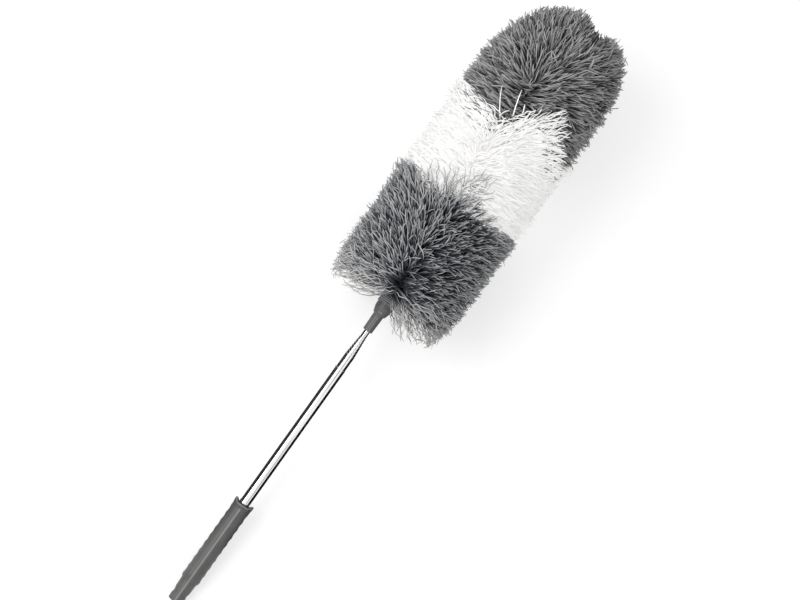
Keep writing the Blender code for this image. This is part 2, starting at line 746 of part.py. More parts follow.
def backing_profile(first_ring, last_ring):
    """Profile of the slice of backing that carries some rings; the last slice closes the end."""
    bottom = BACKING_BOTTOM
    if first_ring > 0:
        bottom = FIRST_ROOT + (first_ring - 0.5) * ROOT_PITCH + SEAM / 2
    if last_ring < RING_COUNT - 1:
        top = FIRST_ROOT + (last_ring + 0.5) * ROOT_PITCH - SEAM / 2
        return [
            (BACKING_INNER, top),
            (BACKING_OUTER, top),
            (BACKING_OUTER, bottom),
            (BACKING_INNER, bottom),
        ], True
    roof = BACKING_TOP - BACKING_THICKNESS
    profile = [(0.0, BACKING_TOP)]
    profile += arc(
        (BACKING_OUTER - BACKING_THICKNESS, BACKING_TOP - BACKING_THICKNESS),
        BACKING_THICKNESS,
        90,
        0,
        3,
    )
    profile += [
        (BACKING_OUTER, bottom),
        (BACKING_INNER, bottom),
        (BACKING_INNER, roof),
        (0.0, roof),
    ]
    return profile, False


def make_pile(name, first_ring, last_ring, finish):
    """One band of fluff: rings of strands joined to their slice of the backing."""
    strands = []
    for ring in range(first_ring, last_ring + 1):
        root_height = FIRST_ROOT + ring * ROOT_PITCH
        share = ring / RING_COUNT
        count = strands_in_ring(share)
        for index in range(count):
            around = math.tau * (index + 0.5 * ((ring + 1) % 2)) / count
            strands.append(strand_points(root_height, share, around, chance.random()))
    if last_ring == RING_COUNT - 1:
        nose = FLUFF_DOME_START + FLUFF_DOME_LENGTH
        start = BACKING_TOP - BACKING_THICKNESS / 2
        heights = (start, start + (nose - start) * BELLY_SHARE, nose)
        strands.append([(0.0, 0.0, height) for height in heights])
    profile, closed = backing_profile(first_ring, last_ring)
    pile = turned(name, profile, BACKING_SIDES, finish, closed)
    fluff = add_cutter("strands_of_" + name, strand_curve("strands_of_" + name, strands))
    boolean(pile, fluff, "UNION")
    return pile, len(strands)


def cut_flat(pile):
    """Cut a pile level with the surface that the duster lies on."""
    reach = FLUFF_STRAIGHT_LENGTH
    thickness = FLUFF_RADIUS
    mesh = box_mesh("rest_surface", (reach * 2, reach, thickness), (0.0, 0.0, -thickness / 2))
    surface = add_cutter("rest_surface", mesh)
    surface.parent = None
    boolean(pile, surface, "DIFFERENCE")


clear_scene()
chance = random.Random(SEED)
pieces = new_collection("extendable_duster")
cutters = new_collection("duster_cutters")
pole = bpy.data.objects.new("pole_axis", None)
pieces.objects.link(pole)
pole.rotation_euler = (0.0, math.pi / 2 - REST_TILT, 0.0)
pole.location = (REST_CENTRE, 0.0, REST_HEIGHT)

make_grip()
make_end_cap()
make_tube_seat()
make_base_plug()
for tube_number in range(1, TUBE_COUNT + 1):
    make_tube(tube_number)
    if tube_number > 1:
        make_friction_sleeve(tube_number)
make_tip_stud()
make_connector()
make_core_rod()
make_core_cap()
make_neck_cuff()

strand_total = 0
ring_start = 0
for pile_name, rings, pile_finish in (
    ("lower_pile", RINGS_PER_PILE[0], GREY_FIBRE),
    ("middle_pile", RINGS_PER_PILE[1], WHITE_FIBRE),
    ("upper_pile", RINGS_PER_PILE[2], GREY_FIBRE),
):
    made_pile, strand_number = make_pile(pile_name, ring_start, ring_start + rings - 1, pile_finish)
    if ring_start == 0:
        cut_flat(made_pile)
    strand_total += strand_number
    ring_start += rings
print("strands in all:", strand_total)
print("tilt in degrees:", round(math.degrees(REST_TILT), 3), "axis height:", round(REST_HEIGHT, 5))
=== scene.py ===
"""Looks of the extendable duster: fine surfaces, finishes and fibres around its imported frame.

Lengths are in metres. Places are worked out in the pole's own frame: a height along the pole
from the grip's rim towards the head, a radius from the pole's axis, and an angle round it from
the upper side towards the right as seen from above with the head ahead.
"""
import json
import math

import bmesh
import bpy
import numpy as np
from mathutils import Matrix, Vector


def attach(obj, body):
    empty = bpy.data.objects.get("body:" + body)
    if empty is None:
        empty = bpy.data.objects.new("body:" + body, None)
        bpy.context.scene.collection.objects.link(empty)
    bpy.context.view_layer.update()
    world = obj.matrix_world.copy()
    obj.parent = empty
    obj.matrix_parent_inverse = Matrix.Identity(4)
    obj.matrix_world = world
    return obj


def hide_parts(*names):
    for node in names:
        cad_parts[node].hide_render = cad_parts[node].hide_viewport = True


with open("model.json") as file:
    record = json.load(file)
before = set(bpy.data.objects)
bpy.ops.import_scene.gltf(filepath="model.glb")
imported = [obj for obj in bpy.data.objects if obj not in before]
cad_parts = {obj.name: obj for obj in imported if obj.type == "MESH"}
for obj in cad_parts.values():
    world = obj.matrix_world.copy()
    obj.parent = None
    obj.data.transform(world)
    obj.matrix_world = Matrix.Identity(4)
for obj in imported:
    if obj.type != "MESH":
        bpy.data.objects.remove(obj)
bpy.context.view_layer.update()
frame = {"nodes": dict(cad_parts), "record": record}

chance = np.random.default_rng(11)

# The pole's frame, from the flat butt face of the handle
BUTT = frame["record"]["mounts"][0]
ALONG = -np.array(BUTT["axis"]) / np.linalg.norm(BUTT["axis"])
RIGHT = np.array((0.0, -1.0, 0.0))
UPWARD = np.cross(RIGHT, ALONG)
WELD = 0.000001


def node_points(node, start):
    """Heights along the pole from a start point, and radii, of a node's points."""
    mesh = frame["nodes"][node].data
    flat = np.empty(len(mesh.vertices) * 3, dtype=np.float32)
    mesh.vertices.foreach_get("co", flat)
    offset = flat.reshape(-1, 3) - start
    height = offset @ ALONG
    return height, np.linalg.norm(offset - np.outer(height, ALONG), axis=1)


TAIL_LENGTH_ALL = node_points("grip", np.array(BUTT["pos_m"]))[0].max()
RIM_CENTRE = np.array(BUTT["pos_m"]) + ALONG * TAIL_LENGTH_ALL


def extent(node):
    """Lowest height, highest height and greatest radius of a node."""
    height, radius = node_points(node, RIM_CENTRE)
    return float(height.min()), float(height.max()), float(radius.max())


def place(height, radius, angle):
    """Points of the frame: the axis at a height, plus the radius times the cosine of the angle
    upwards and times its sine to the right."""
    height, radius, angle = np.broadcast_arrays(height, radius, angle)
    up = (radius * np.cos(angle))[..., None] * UPWARD
    side = (radius * np.sin(angle))[..., None] * RIGHT
    return RIM_CENTRE + height[..., None] * ALONG + up + side


def smooth_step(value, low, high):
    """Rises from 0 at low to 1 at high along a cubic that is level at both ends."""
    part = np.clip((value - low) / (high - low), 0.0, 1.0)
    return part * part * (3.0 - 2.0 * part)


class Wire:
    """A node's output in a sum: each operator adds a Math node."""

    def __init__(self, board, socket):
        self.board = board
        self.socket = socket

    def maths(self, operation, first, second=None):
        inputs = {0: first} if second is None else {0: first, 1: second}
        return self.board.node("ShaderNodeMath", {"operation": operation}, inputs)

    def __add__(self, other):
        return self.maths("ADD", self, other)

    def __radd__(self, other):
        return self.maths("ADD", other, self)

    def __sub__(self, other):
        return self.maths("SUBTRACT", self, other)

    def __rsub__(self, other):
        return self.maths("SUBTRACT", other, self)

    def __mul__(self, other):
        return self.maths("MULTIPLY", self, other)

    def __rmul__(self, other):
        return self.maths("MULTIPLY", other, self)


class Board:
    """The node board of one material, with its Principled shader."""

    def __init__(self, name):
        self.material = bpy.data.materials.new(name)
        self.material.use_nodes = True
        self.tree = self.material.node_tree
        self.shader = self.tree.nodes["Principled BSDF"]

    def node(self, kind, settings=None, sockets=None, output=0):
        """Adds a node: its settings first, then the values or wires of its sockets."""
        made = self.tree.nodes.new(kind)
        for key, value in (settings or {}).items():
            setattr(made, key, value)
        for key, value in (sockets or {}).items():
            self.feed(made.inputs[key], value)
        return Wire(self, made.outputs[output])

    def feed(self, socket, value):
        """Links a wire to a socket, or sets the socket's value."""
        if isinstance(value, Wire):
            self.tree.links.new(value.socket, socket)
        else:
            socket.default_value = value

    def principled(self, **sockets):
        """Feeds the Principled shader; an underscore in a name stands for a space."""
        for key, value in sockets.items():
            self.feed(self.shader.inputs[key.replace("_", " ")], value)

    def place(self):
        """Object coordinates, in metres."""
        return self.node("ShaderNodeTexCoord", output=3)

    def pole_place(self, along=1.0, around=1.0):
        """Object coordinates turned so that Z runs along the pole, then stretched."""
        tilt = math.atan2(ALONG[0], ALONG[2])
        turned = self.node(
            "ShaderNodeVectorRotate",
            {"rotation_type": "Y_AXIS"},
            {"Vector": self.place(), "Angle": -tilt},
        )
        sizes = {1: (around, around, along)}
        return self.node(
            "ShaderNodeVectorMath", {"operation": "MULTIPLY"}, {0: turned, **sizes}
        )

    def noise(self, where, scale, detail=2.0, roughness=0.5):
        """Noise from 0 to 1."""
        sockets = {"Vector": where, "Scale": scale, "Detail": detail, "Roughness": roughness}
        return self.node("ShaderNodeTexNoise", {}, sockets)

    def between(self, value, low, high, out_low=0.0, out_high=1.0):
        """Carries a range of a value to another range, and holds it there."""
        sockets = {0: value, 1: low, 2: high, 3: out_low, 4: out_high}
        return self.node("ShaderNodeMapRange", {"clamp": True}, sockets)

    def blend(self, factor, first, second, how="MIX"):
        """Mixes two colours."""
        settings = {"data_type": "RGBA", "blend_type": how}
        sockets = {0: factor, 6: self.colour(first), 7: self.colour(second)}
        return self.node("ShaderNodeMix", settings, sockets, output=2)

    def colour(self, value):
        """A colour as the sockets take it."""
        return value if isinstance(value, Wire) else (*value, 1.0)

    def grey(self, value):
        """A number as a grey colour."""
        return self.node("ShaderNodeCombineColor", {}, {0: value, 1: value, 2: value})

    def attribute(self, name):
        """A number kept on the mesh's points."""
        return self.node("ShaderNodeAttribute", {"attribute_name": name}, output=2)

    def bump(self, height, distance, strength=1.0):
        """A normal from heights of 0 to 1 that stand for a distance."""
        sockets = {"Height": height, "Distance": distance, "Strength": strength}
        return self.node("ShaderNodeBump", {}, sockets)

    def vector(self, operation, *inputs, output=0):
        """Vector maths of wires or of three numbers."""
        settings = {"operation": operation}
        return self.node("ShaderNodeVectorMath", settings, dict(enumerate(inputs)), output)

    def outward(self, low, high):
        """Direction away from the part of the pole's axis between two heights."""
        offset = self.vector("SUBTRACT", self.place(), tuple(RIM_CENTRE))
        height = self.vector("DOT_PRODUCT", offset, tuple(ALONG), output=1)
        height = height.maths("MINIMUM", height.maths("MAXIMUM", height, low), high)
        foot = self.node(
            "ShaderNodeVectorMath", {"operation": "SCALE"}, {0: tuple(ALONG), "Scale": height}
        )
        away = self.vector("NORMALIZE", self.vector("SUBTRACT", offset, foot))
        settings = {"vector_type": "NORMAL", "convert_from": "OBJECT", "convert_to": "WORLD"}
        return self.node("ShaderNodeVectorTransform", settings, {0: away})

    def halfway(self, share, first, second):
        """Direction between two directions, at a share of the way."""
        settings = {"data_type": "VECTOR"}
        mixed = self.node("ShaderNodeMix", settings, {0: share, 4: first, 5: second}, output=1)
        return self.vector("NORMALIZE", mixed)


# Finishes
PLASTIC_DARK = (0.070, 0.070, 0.069)
PLASTIC_COLOUR = (0.098, 0.098, 0.096)
PLASTIC_LIGHT = (0.140, 0.140, 0.137)
# Colour of the painted highlight that lightens the parting line, the rim's edge and the connector's ridges
PLASTIC_PAINTED_HIGHLIGHT = (0.360, 0.360, 0.355)


def moulded_plastic(name, dark, middle, light, roughness):
    """Satin moulded plastic: a spark-eroded grain, flow streaks along the pole and rub marks."""
    board = Board(name)
    streaks = board.noise(board.pole_place(along=8.0, around=90.0), 6.0, 3.0)
    patches = board.noise(board.place(), 70.0, 3.0)
    grain = board.noise(board.place(), 1900.0, 3.0, 0.7)
    rubs = board.noise(board.pole_place(along=60.0, around=900.0), 1.0, 4.0, 0.7)
    rubbed = board.between(rubs, 0.62, 0.80)
    colour = board.blend(board.between(streaks, 0.3, 0.7), dark, middle)
    colour = board.blend(board.between(patches, 0.35, 0.75) * 0.6, colour, light)
    colour = board.blend(rubbed * 0.35, colour, light)
    # Painted highlight: the mark on the mesh lightens the colour towards a pale grey and makes it smoother
    worn = board.attribute("worn")
    colour = board.blend(worn, colour, PLASTIC_PAINTED_HIGHLIGHT)
    rough = roughness + (patches - 0.5) * 0.16 - rubbed * 0.12 - worn * 0.10
    height = grain + rubbed * 0.4
    board.principled(Base_Color=colour, Roughness=rough, Normal=board.bump(height, 0.00009, 0.6))
    return board.material


def chromed_steel():
    """Bright chrome plate: almost a mirror, with fine draw lines and faint handling marks."""
    board = Board("chrome_plate")
    lines = board.noise(board.pole_place(along=3.0, around=4000.0), 1.0, 3.0)
    marks = board.noise(board.pole_place(along=40.0, around=240.0), 1.0, 4.0, 0.65)
    marked = board.between(marks, 0.58, 0.80)
    lip = board.attribute("lip")
    rough = 0.030 + marked * 0.06 + lines * 0.02 + lip * 0.35
    colour = board.blend(marked * 0.5, (0.92, 0.92, 0.93), (0.80, 0.80, 0.81))
    board.principled(
        Base_Color=colour,
        Metallic=1.0,
        Roughness=rough,
        Normal=board.bump(lines, 0.000001, 0.2),
    )
    return board.material


def spring_brass():
    """Rolled brass strip with a grain round the sleeve and dull patches."""
    board = Board("sleeve_brass")
    grain = board.noise(board.pole_place(along=5000.0, around=60.0), 1.0, 2.0)
    dull = board.noise(board.place(), 600.0, 3.0)
    colour = board.blend(board.between(dull, 0.35, 0.7), (0.66, 0.50, 0.21), (0.45, 0.33, 0.15))
    board.principled(
        Base_Color=colour,
        Metallic=1.0,
        Roughness=0.26 + dull * 0.2,
        Normal=board.bump(grain, 0.000004, 0.4),
    )
    return board.material


FLUFF_LINE = (0.30, 0.54)


def fibre(name, deep, middle, tip, stray, contrast, glow, evenness):
    """Microfibre strand: painted shade darkens it deep in the fluff, and it is streaked along its length.

    Light spreads among fine fibres, so the strand's normal is drawn towards the fluff's own by
    the evenness.

    The strand's own numbers are along, from 0 at the root to 1 at the tip, light, a painted shade
    from 0 deep in the fluff to 1 at its surface, tone, which varies from strand to strand, and
    across, which tells the yarns of one strand apart.
    """
    board = Board(name)
    along = board.attribute("along")
    light = board.attribute("light")
    tone = board.attribute("tone")
    across = board.attribute("across")
    parts = {0: along * 7.0, 1: across * 3.0, 2: tone * 60.0}
    yarn = board.node("ShaderNodeCombineXYZ", {}, parts)
    streak = board.noise(yarn, 4.0, 3.0, 0.65)
    nap = board.noise(board.place(), 2600.0, 2.0)
    # Painted shade: the light mark darkens strands deep in the fluff, towards their roots and round the knot;
    # tone and streaks vary at random
    lit = light * (1.0 - contrast) + light * (tone * 0.9 + streak * 0.6) * contrast
    # Painted light: the outer fifth of each strand is lightened towards its tip
    lit = lit + board.between(along, 0.80, 1.0, 0.0, 0.22) * light
    colour = board.blend(board.between(lit, 0.05, 0.45), deep, middle)
    colour = board.blend(board.between(lit, 0.40, 0.95), colour, tip)
    colour = board.blend(board.between(tone, 0.86, 1.0) * light, colour, stray)
    own = board.bump(streak * 0.7 + nap * 0.3, 0.0002, 0.55)
    board.principled(
        Base_Color=colour,
        Roughness=0.78 + (nap - 0.5) * 0.3,
        Normal=board.halfway(evenness, own, board.outward(*FLUFF_LINE)),
        Sheen_Weight=0.2,
        Sheen_Roughness=0.4,
        Specular_IOR_Level=0.25,
    )
    # Painted light: the emission makes the fibre glow though it is no lamp
    if glow:
        board.principled(Emission_Color=colour, Emission_Strength=glow)
    return board.material


def knit(name, dark, light):
    """Fine knitted fabric: rows of loops round the pole and wales along it, with a soft nap."""
    board = Board(name)
    loops = board.node(
        "ShaderNodeTexWave",
        {"wave_type": "BANDS", "bands_direction": "Z"},
        {"Vector": board.pole_place(), "Scale": 150.0, "Distortion": 2.5, "Detail Scale": 3.0},
        output=1,
    )
    wales = board.noise(board.pole_place(along=60.0, around=1400.0), 1.0, 2.0)
    nap = board.noise(board.place(), 900.0, 4.0, 0.7)
    weave = loops * 0.5 + wales * 0.3 + nap * 0.4
    colour = board.blend(board.between(weave, 0.35, 0.85), dark, light)
    board.principled(
        Base_Color=colour,
        Roughness=0.88,
        Normal=board.bump(weave, 0.0003, 0.7),
        Specular_IOR_Level=0.2,
    )
    return board.material


# Meshes
def grid_faces(rows, columns, close_rows=False, close_columns=True):
    """Corner numbers of the cells of a grid that may join up with itself either way."""
    row, column = np.meshgrid(
        np.arange(rows if close_rows else rows - 1),
        np.arange(columns if close_columns else columns - 1),
        indexing="ij",
    )
    next_row = (row + 1) % rows
    next_column = (column + 1) % columns
    corners = (
        row * columns + column,
        row * columns + next_column,
        next_row * columns + next_column,
        next_row * columns + column,
    )
    return np.stack(corners, axis=-1).reshape(-1, 4)


def mesh_of(name, points, *face_lists):
    """Mesh of points and of arrays of faces, each with its own number of corners."""
    mesh = bpy.data.meshes.new(name)
    mesh.vertices.add(len(points))
    mesh.vertices.foreach_set("co", points.astype(np.float32).ravel())
    corners = np.concatenate([faces.ravel() for faces in face_lists])
    counts = np.concatenate([np.full(len(faces), faces.shape[1]) for faces in face_lists])
    starts = np.concatenate(([0], np.cumsum(counts)[:-1]))
    mesh.loops.add(len(corners))
    mesh.loops.foreach_set("vertex_index", corners.astype(np.int32))
    mesh.polygons.add(len(counts))
    mesh.polygons.foreach_set("loop_start", starts.astype(np.int32))
    mesh.update(calc_edges=True)
    return mesh


def weld(mesh, sharp_degrees=35.0):
    """Joins doubled points, turns the faces outwards and shades smooth between sharp edges."""
    shape = bmesh.new()
    shape.from_mesh(mesh)
    bmesh.ops.remove_doubles(shape, verts=shape.verts, dist=WELD)
    bmesh.ops.recalc_face_normals(shape, faces=shape.faces)
    shape.to_mesh(mesh)
    shape.free()
    mesh.shade_smooth()
    mesh.set_sharp_from_angle(angle=math.radians(sharp_degrees))
    return mesh


def shell(name, height, radius, angle, closed=True, sharp_degrees=35.0, **marks):
    """Mesh of a surface on rows of heights and radii and on columns of angles round the pole.

    The rows follow a profile, which joins up with itself or else ends on the axis. Marks are
    numbers from 0 to 1 on the same grid, kept on the mesh's points.
    """
    points = place(height, radius, angle)
    rows, columns = points.shape[:2]
    faces = grid_faces(rows, columns, close_rows=closed)
    mesh = mesh_of(name, points.reshape(-1, 3), faces)
    for label, mark in marks.items():
        keep_number(mesh, label, np.broadcast_to(mark, (rows, columns)))
    return weld(mesh, sharp_degrees)


def keep_number(mesh, label, values):
    """Keeps a number for each point of a mesh under a label."""
    attribute = mesh.attributes.new(label, "FLOAT", "POINT")
    attribute.data.foreach_set("value", np.ascontiguousarray(values, dtype=np.float32).ravel())


def ring(sides, crowding=0.0):
    """Angles once round, crowded towards the upper and lower side by a sine term."""
    turn = np.arange(sides) * math.tau / sides
    return turn - crowding * np.sin(2.0 * turn)


def rounded(profile, steps=5):
    """Points of a profile whose corners are rounded.

    The profile is a list of (height, radius, rounding). At a corner the line leaves its straight
    run at the rounding's distance and bends through a quadratic curve towards the next run.
    """
    corners = np.array([(height, radius) for height, radius, _ in profile])
    reach = np.array([rounding for _, _, rounding in profile])
    before = np.roll(corners, 1, axis=0) - corners
    after = np.roll(corners, -1, axis=0) - corners
    before /= np.linalg.norm(before, axis=1, keepdims=True)
    after /= np.linalg.norm(after, axis=1, keepdims=True)
    start = corners + before * reach[:, None]
    end = corners + after * reach[:, None]
    part = np.linspace(0.0, 1.0, steps)[None, :, None]
    bend = (1 - part) ** 2 * start[:, None] + 2 * part * (1 - part) * corners[:, None]
    bend = bend + part**2 * end[:, None]
    points = bend.reshape(-1, 2)
    keep = np.linalg.norm(points - np.roll(points, 1, axis=0), axis=1) > WELD
    return points[keep]


def add_piece(name, mesh, finish, body, slot, *nodes):
    """A finished piece that rides on a body and stands for some CAD nodes."""
    item = bpy.data.objects.new(name, mesh)
    bpy.context.scene.collection.objects.link(item)
    mesh.materials.append(finish)
    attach(item, body)
    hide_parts(*nodes)
    return item


# Handle
GRIP_FLARE = 0.0007
FLARE_LENGTH = 0.0080
RIM_SCOOP = 0.0029
RIM_BLEND = 0.0120
EAR_SLOPE = (0.58, 0.94)
RIM_ROUND = 0.0009
FOOT_LENGTH = 0.0036
FOOT_STRETCH = 1.6
FOOT_STEP = 0.0015
RECESS_DEPTH = 0.0035
RECESS_RADIUS = 0.0086
GRIP_WALL = 0.0022
MOUTH_LENGTH = 0.0140
MOUTH_CLEARANCE = 0.0003
SCALLOPS = 9
SCALLOP_DEPTH = 0.00056
SCALLOP_LAND = 0.0009
SCALLOP_TOP = 0.0100
SCALLOP_BOTTOM = 0.0045
SEAM_HEIGHT = 0.00014
SEAM_WIDTH = 0.00058
# Strength of the painted highlight along the parting line
SEAM_HIGHLIGHT = 0.62
SEAM_FADE = (0.0030, 0.0080)


def mould_seam(radius, angle):
    """Height of the parting line: a narrow bell curve on the upper and on the lower side."""
    aside = radius * np.sin(angle)
    return SEAM_HEIGHT * np.exp(-((aside / SEAM_WIDTH) ** 2))


def seam_highlight(radius, angle):
    """How strongly a painted highlight lightens the parting line: a bell curve a little wider than its ridge.
    """
    return SEAM_HIGHLIGHT * np.exp(-((radius * np.sin(angle) / (1.5 * SEAM_WIDTH)) ** 2))


def scallop_depth(height, low, high):
    """Depth of the row of shallow arcs down the grip's sides, each a parabola."""
    first = high - SCALLOP_TOP
    last = low + SCALLOP_BOTTOM
    pitch = (first - last) / SCALLOPS
    part = ((first - height) / pitch) % 1.0 - 0.5
    half = 0.5 - SCALLOP_LAND / pitch / 2
    inside = (height < first) & (height > last)
    return np.where(inside, SCALLOP_DEPTH * np.clip(1 - (part / half) ** 2, 0.0, 1.0), 0.0)


def grip_mesh():
    """Grip: a turned profile whose radius is limited beside the axis by the scallops.

    Between the two ears the rim sinks to a level saddle, along a smooth step of the distance to
    the side.
    """
    low, high, _ = extent("grip")
    tube_radius = extent("tube_1")[2]
    grip_radius = extent("grip")[2] - GRIP_FLARE
    cavity = grip_radius - GRIP_WALL
    mouth = tube_radius + MOUTH_CLEARANCE
    side = np.linspace(high - RIM_ROUND, low, 240)
    turn = np.linspace(0.0, math.pi / 2, 8)
    flared = grip_radius + GRIP_FLARE
    rim_height = high - RIM_ROUND * (1 - np.cos(turn))
    rim_radius = flared - RIM_ROUND * (1 - np.sin(turn))
    flare = GRIP_FLARE * (1 - smooth_step(high - side, RIM_ROUND, FLARE_LENGTH))
    chamfer = cavity - mouth
    floor = high - RECESS_DEPTH
    bore_height = np.array(
        (low, high - MOUTH_LENGTH - chamfer, high - MOUTH_LENGTH, floor, floor, high - 0.0008)
    )
    bore_radius = np.array((cavity, cavity, mouth, mouth, RECESS_RADIUS, RECESS_RADIUS + 0.0004))
    height = np.concatenate((rim_height, side[1:], bore_height))[:, None]
    radius = np.concatenate((rim_radius, (grip_radius + flare)[1:], bore_radius))[:, None]
    angle = ring(192, 0.34)[None, :]
    outer = np.zeros(radius.shape)
    outer[: len(rim_height) + len(side) - 1] = 1.0
    limit = grip_radius - scallop_depth(height, low, high)
    limit = np.where(limit < grip_radius - WELD, limit, radius)
    aside = np.maximum(np.abs(np.sin(angle)), 0.001)
    cut = np.minimum(radius, limit / aside)
    foot = FOOT_LENGTH * (1 + FOOT_STRETCH * np.cos(angle) ** 2)
    cut = cut - FOOT_STEP * smooth_step(low + foot - height, 0.0, foot * 1.1)
    faded = outer * smooth_step(high - height, *SEAM_FADE)
    radius = np.where(outer > 0, cut + mould_seam(radius, angle) * faded, radius)
    saddle = RIM_SCOOP * (1 - smooth_step(np.abs(np.sin(angle)), *EAR_SLOPE))
    lowered = height - saddle * smooth_step(height, high - RIM_BLEND, high)
    # Painted highlight along the parting line and round the rim's edge
    worn = seam_highlight(radius, angle) * faded
    worn = worn + 0.5 * outer * np.exp(-(((high - RIM_ROUND - height) / 0.0008) ** 2))
    return shell("grip_shell", lowered, radius, angle, sharp_degrees=50.0, worn=worn)


TAIL_ROUND = 0.0008
TAIL_TAPER = 0.0006
HOLE_RADIUS = 0.0040
HOLE_ROUND = 0.0003
HOLE_FROM_END = 0.0100
SPIGOT_LENGTH = 0.0120


def end_cap_mesh():
    """Tail: a turned profile with the parting line, and a cross hole with a softened edge."""
    low, high, radius = extent("end_cap")
    shoulder = high - SPIGOT_LENGTH
    spigot = node_points("tube_seat", RIM_CENTRE)[1].max()
    profile = [
        (high, 0.0, 0.0),
        (high, spigot, 0.0006),
        (shoulder, spigot, 0.0),
        (shoulder, radius, 0.0003),
        (low, radius - TAIL_TAPER, TAIL_ROUND),
        (low, 0.0, 0.0),
    ]
    points = rounded(profile, 9)
    height = points[:, 0][:, None]
    turned = points[:, 1][:, None]
    angle = ring(160, 0.34)[None, :]
    skin = smooth_step(turned, radius * 0.5, radius * 0.8) * (height < shoulder - WELD)
    turned = turned + mould_seam(radius, angle) * skin
    # Painted highlight along the parting line
    worn = seam_highlight(radius, angle) * skin
    mesh = shell("end_cap_shell", height, turned, angle, False, 50.0, worn=worn)
    cutter = hole_cutter(low + HOLE_FROM_END, radius)
    return cut_out(mesh, cutter)


def hole_cutter(height, radius):
    """A pin across the pole, flared where it leaves the surface.

    Its radius grows by the square of how far a point lies past the start of the flare.
    """
    across = np.linspace(-1.3, 1.3, 53) * radius
    past = np.clip(np.abs(across) - radius * 0.86, 0.0, None)
    size = HOLE_RADIUS + HOLE_ROUND * (past / (radius * 0.14)) ** 2
    size[[0, -1]] = 0.0
    across[0] = across[1]
    across[-1] = across[-2]
    turn = np.arange(64) * math.tau / 64
    up = (size[:, None] * np.cos(turn))[..., None] * UPWARD
    ahead = (size[:, None] * np.sin(turn))[..., None] * ALONG
    points = RIM_CENTRE + height * ALONG + across[:, None, None] * RIGHT + up + ahead
    return weld(mesh_of("hole_pin", points.reshape(-1, 3), grid_faces(53, 64)))


def cut_out(mesh, cutter_mesh):
    """Mesh with another closed mesh taken out of it."""
    body = bpy.data.objects.new("cut_body", mesh)
    cutter = bpy.data.objects.new("cutter", cutter_mesh)
    for item in (body, cutter):
        bpy.context.scene.collection.objects.link(item)
    modifier = body.modifiers.new("cut", "BOOLEAN")
    modifier.operation = "DIFFERENCE"
    modifier.object = cutter
    bpy.context.view_layer.update()
    graph = bpy.context.evaluated_depsgraph_get()
    result = bpy.data.meshes.new_from_object(body.evaluated_get(graph))
    for item in (body, cutter):
        bpy.data.objects.remove(item, do_unlink=True)
    return weld(result, 50.0)


# Pole
TUBES = 9
TUBE_WALL = 0.00016
LIP_CLEARANCE = 0.000035
LIP_LENGTH = 0.0012
LIP_ROUND = 0.00022
NECK_DEPTH = 0.0001
NECK_LENGTH = 0.0060
NECK_BELOW = 0.0008
BEAD_LENGTH = 0.0011
BEAD_HEIGHT = 0.00009
BEAD_STEPS = 9
TUBE_SIDES = 96


def tube_mesh(number):
    """Tube: a turned profile with a rolled lip and, at the foot, the neck for its sleeve.

    Below the lip's rounding the radius swells by the square of a sine, which makes the bead.
    """
    low, high, radius = extent("tube_%d" % number)
    bore = radius - TUBE_WALL
    last = number == TUBES
    inner = bore if last else extent("tube_%d" % (number + 1))[2] + LIP_CLEARANCE
    step = bore - inner
    profile = [(high, inner, 0.0), (high, radius, TUBE_WALL / 2 if last else LIP_ROUND)]
    if not last:
        part = np.linspace(0.0, 1.0, BEAD_STEPS)
        swell = radius + BEAD_HEIGHT * np.sin(math.pi * part) ** 2
        down = high - LIP_ROUND * 1.2 - BEAD_LENGTH * part
        profile += [(at, size, 0.0) for at, size in zip(down, swell)]
    neck_low = low + NECK_BELOW
    neck_high = neck_low + NECK_LENGTH
    if number > 1:
        neck = radius - NECK_DEPTH
        profile += [
            (neck_high + NECK_DEPTH * 2, radius, 0.0001),
            (neck_high, neck, 0.0001),
            (neck_low, neck, 0.00005),
            (neck_low - NECK_DEPTH, radius, 0.00005),
            (low, radius, 0.00005),
            (low, bore - NECK_DEPTH, 0.0),
            (neck_high + TUBE_WALL, bore - NECK_DEPTH, 0.0),
            (neck_high + TUBE_WALL + NECK_DEPTH, bore, 0.0),
        ]
    else:
        profile += [(low, radius, 0.00005), (low, bore, 0.0)]
    if not last:
        profile += [(high - LIP_LENGTH - step, bore, 0.0), (high - LIP_LENGTH, inner, 0.0)]
    height, turned = np.split(rounded(profile), 2, axis=1)
    lip = smooth_step(height, high - BEAD_LENGTH * 1.4, high - BEAD_LENGTH) * (not last)
    name = "tube_%d_shell" % number
    return shell(name, height, turned, ring(TUBE_SIDES)[None, :], sharp_degrees=60.0, lip=lip)


SLEEVE_SLOT = 0.0012
SLEEVE_CLEARANCE = 0.00003


def sleeve_mesh(number):
    """Split spring sleeve: a thin wall of rectangular section, open at the slot."""
    low, high, _ = extent("friction_sleeve_%d" % number)
    inner = extent("tube_%d" % number)[2] - NECK_DEPTH + SLEEVE_CLEARANCE
    outer = extent("tube_%d" % (number - 1))[2] - TUBE_WALL - SLEEVE_CLEARANCE
    half_slot = math.asin(SLEEVE_SLOT / 2 / inner)
    angle = np.linspace(half_slot, math.tau - half_slot, 73)[None, :]
    height = np.array((high, high, low, low))[:, None]
    radius = np.array((inner, outer, outer, inner))[:, None]
    points = place(height, radius, angle)
    sides = grid_faces(4, 73, close_rows=True, close_columns=False)
    first = np.array([[0, 73, 146, 219]])
    ends = np.concatenate((first, first + 72))
    return weld(mesh_of("sleeve_%d" % number, points.reshape(-1, 3), sides, ends))


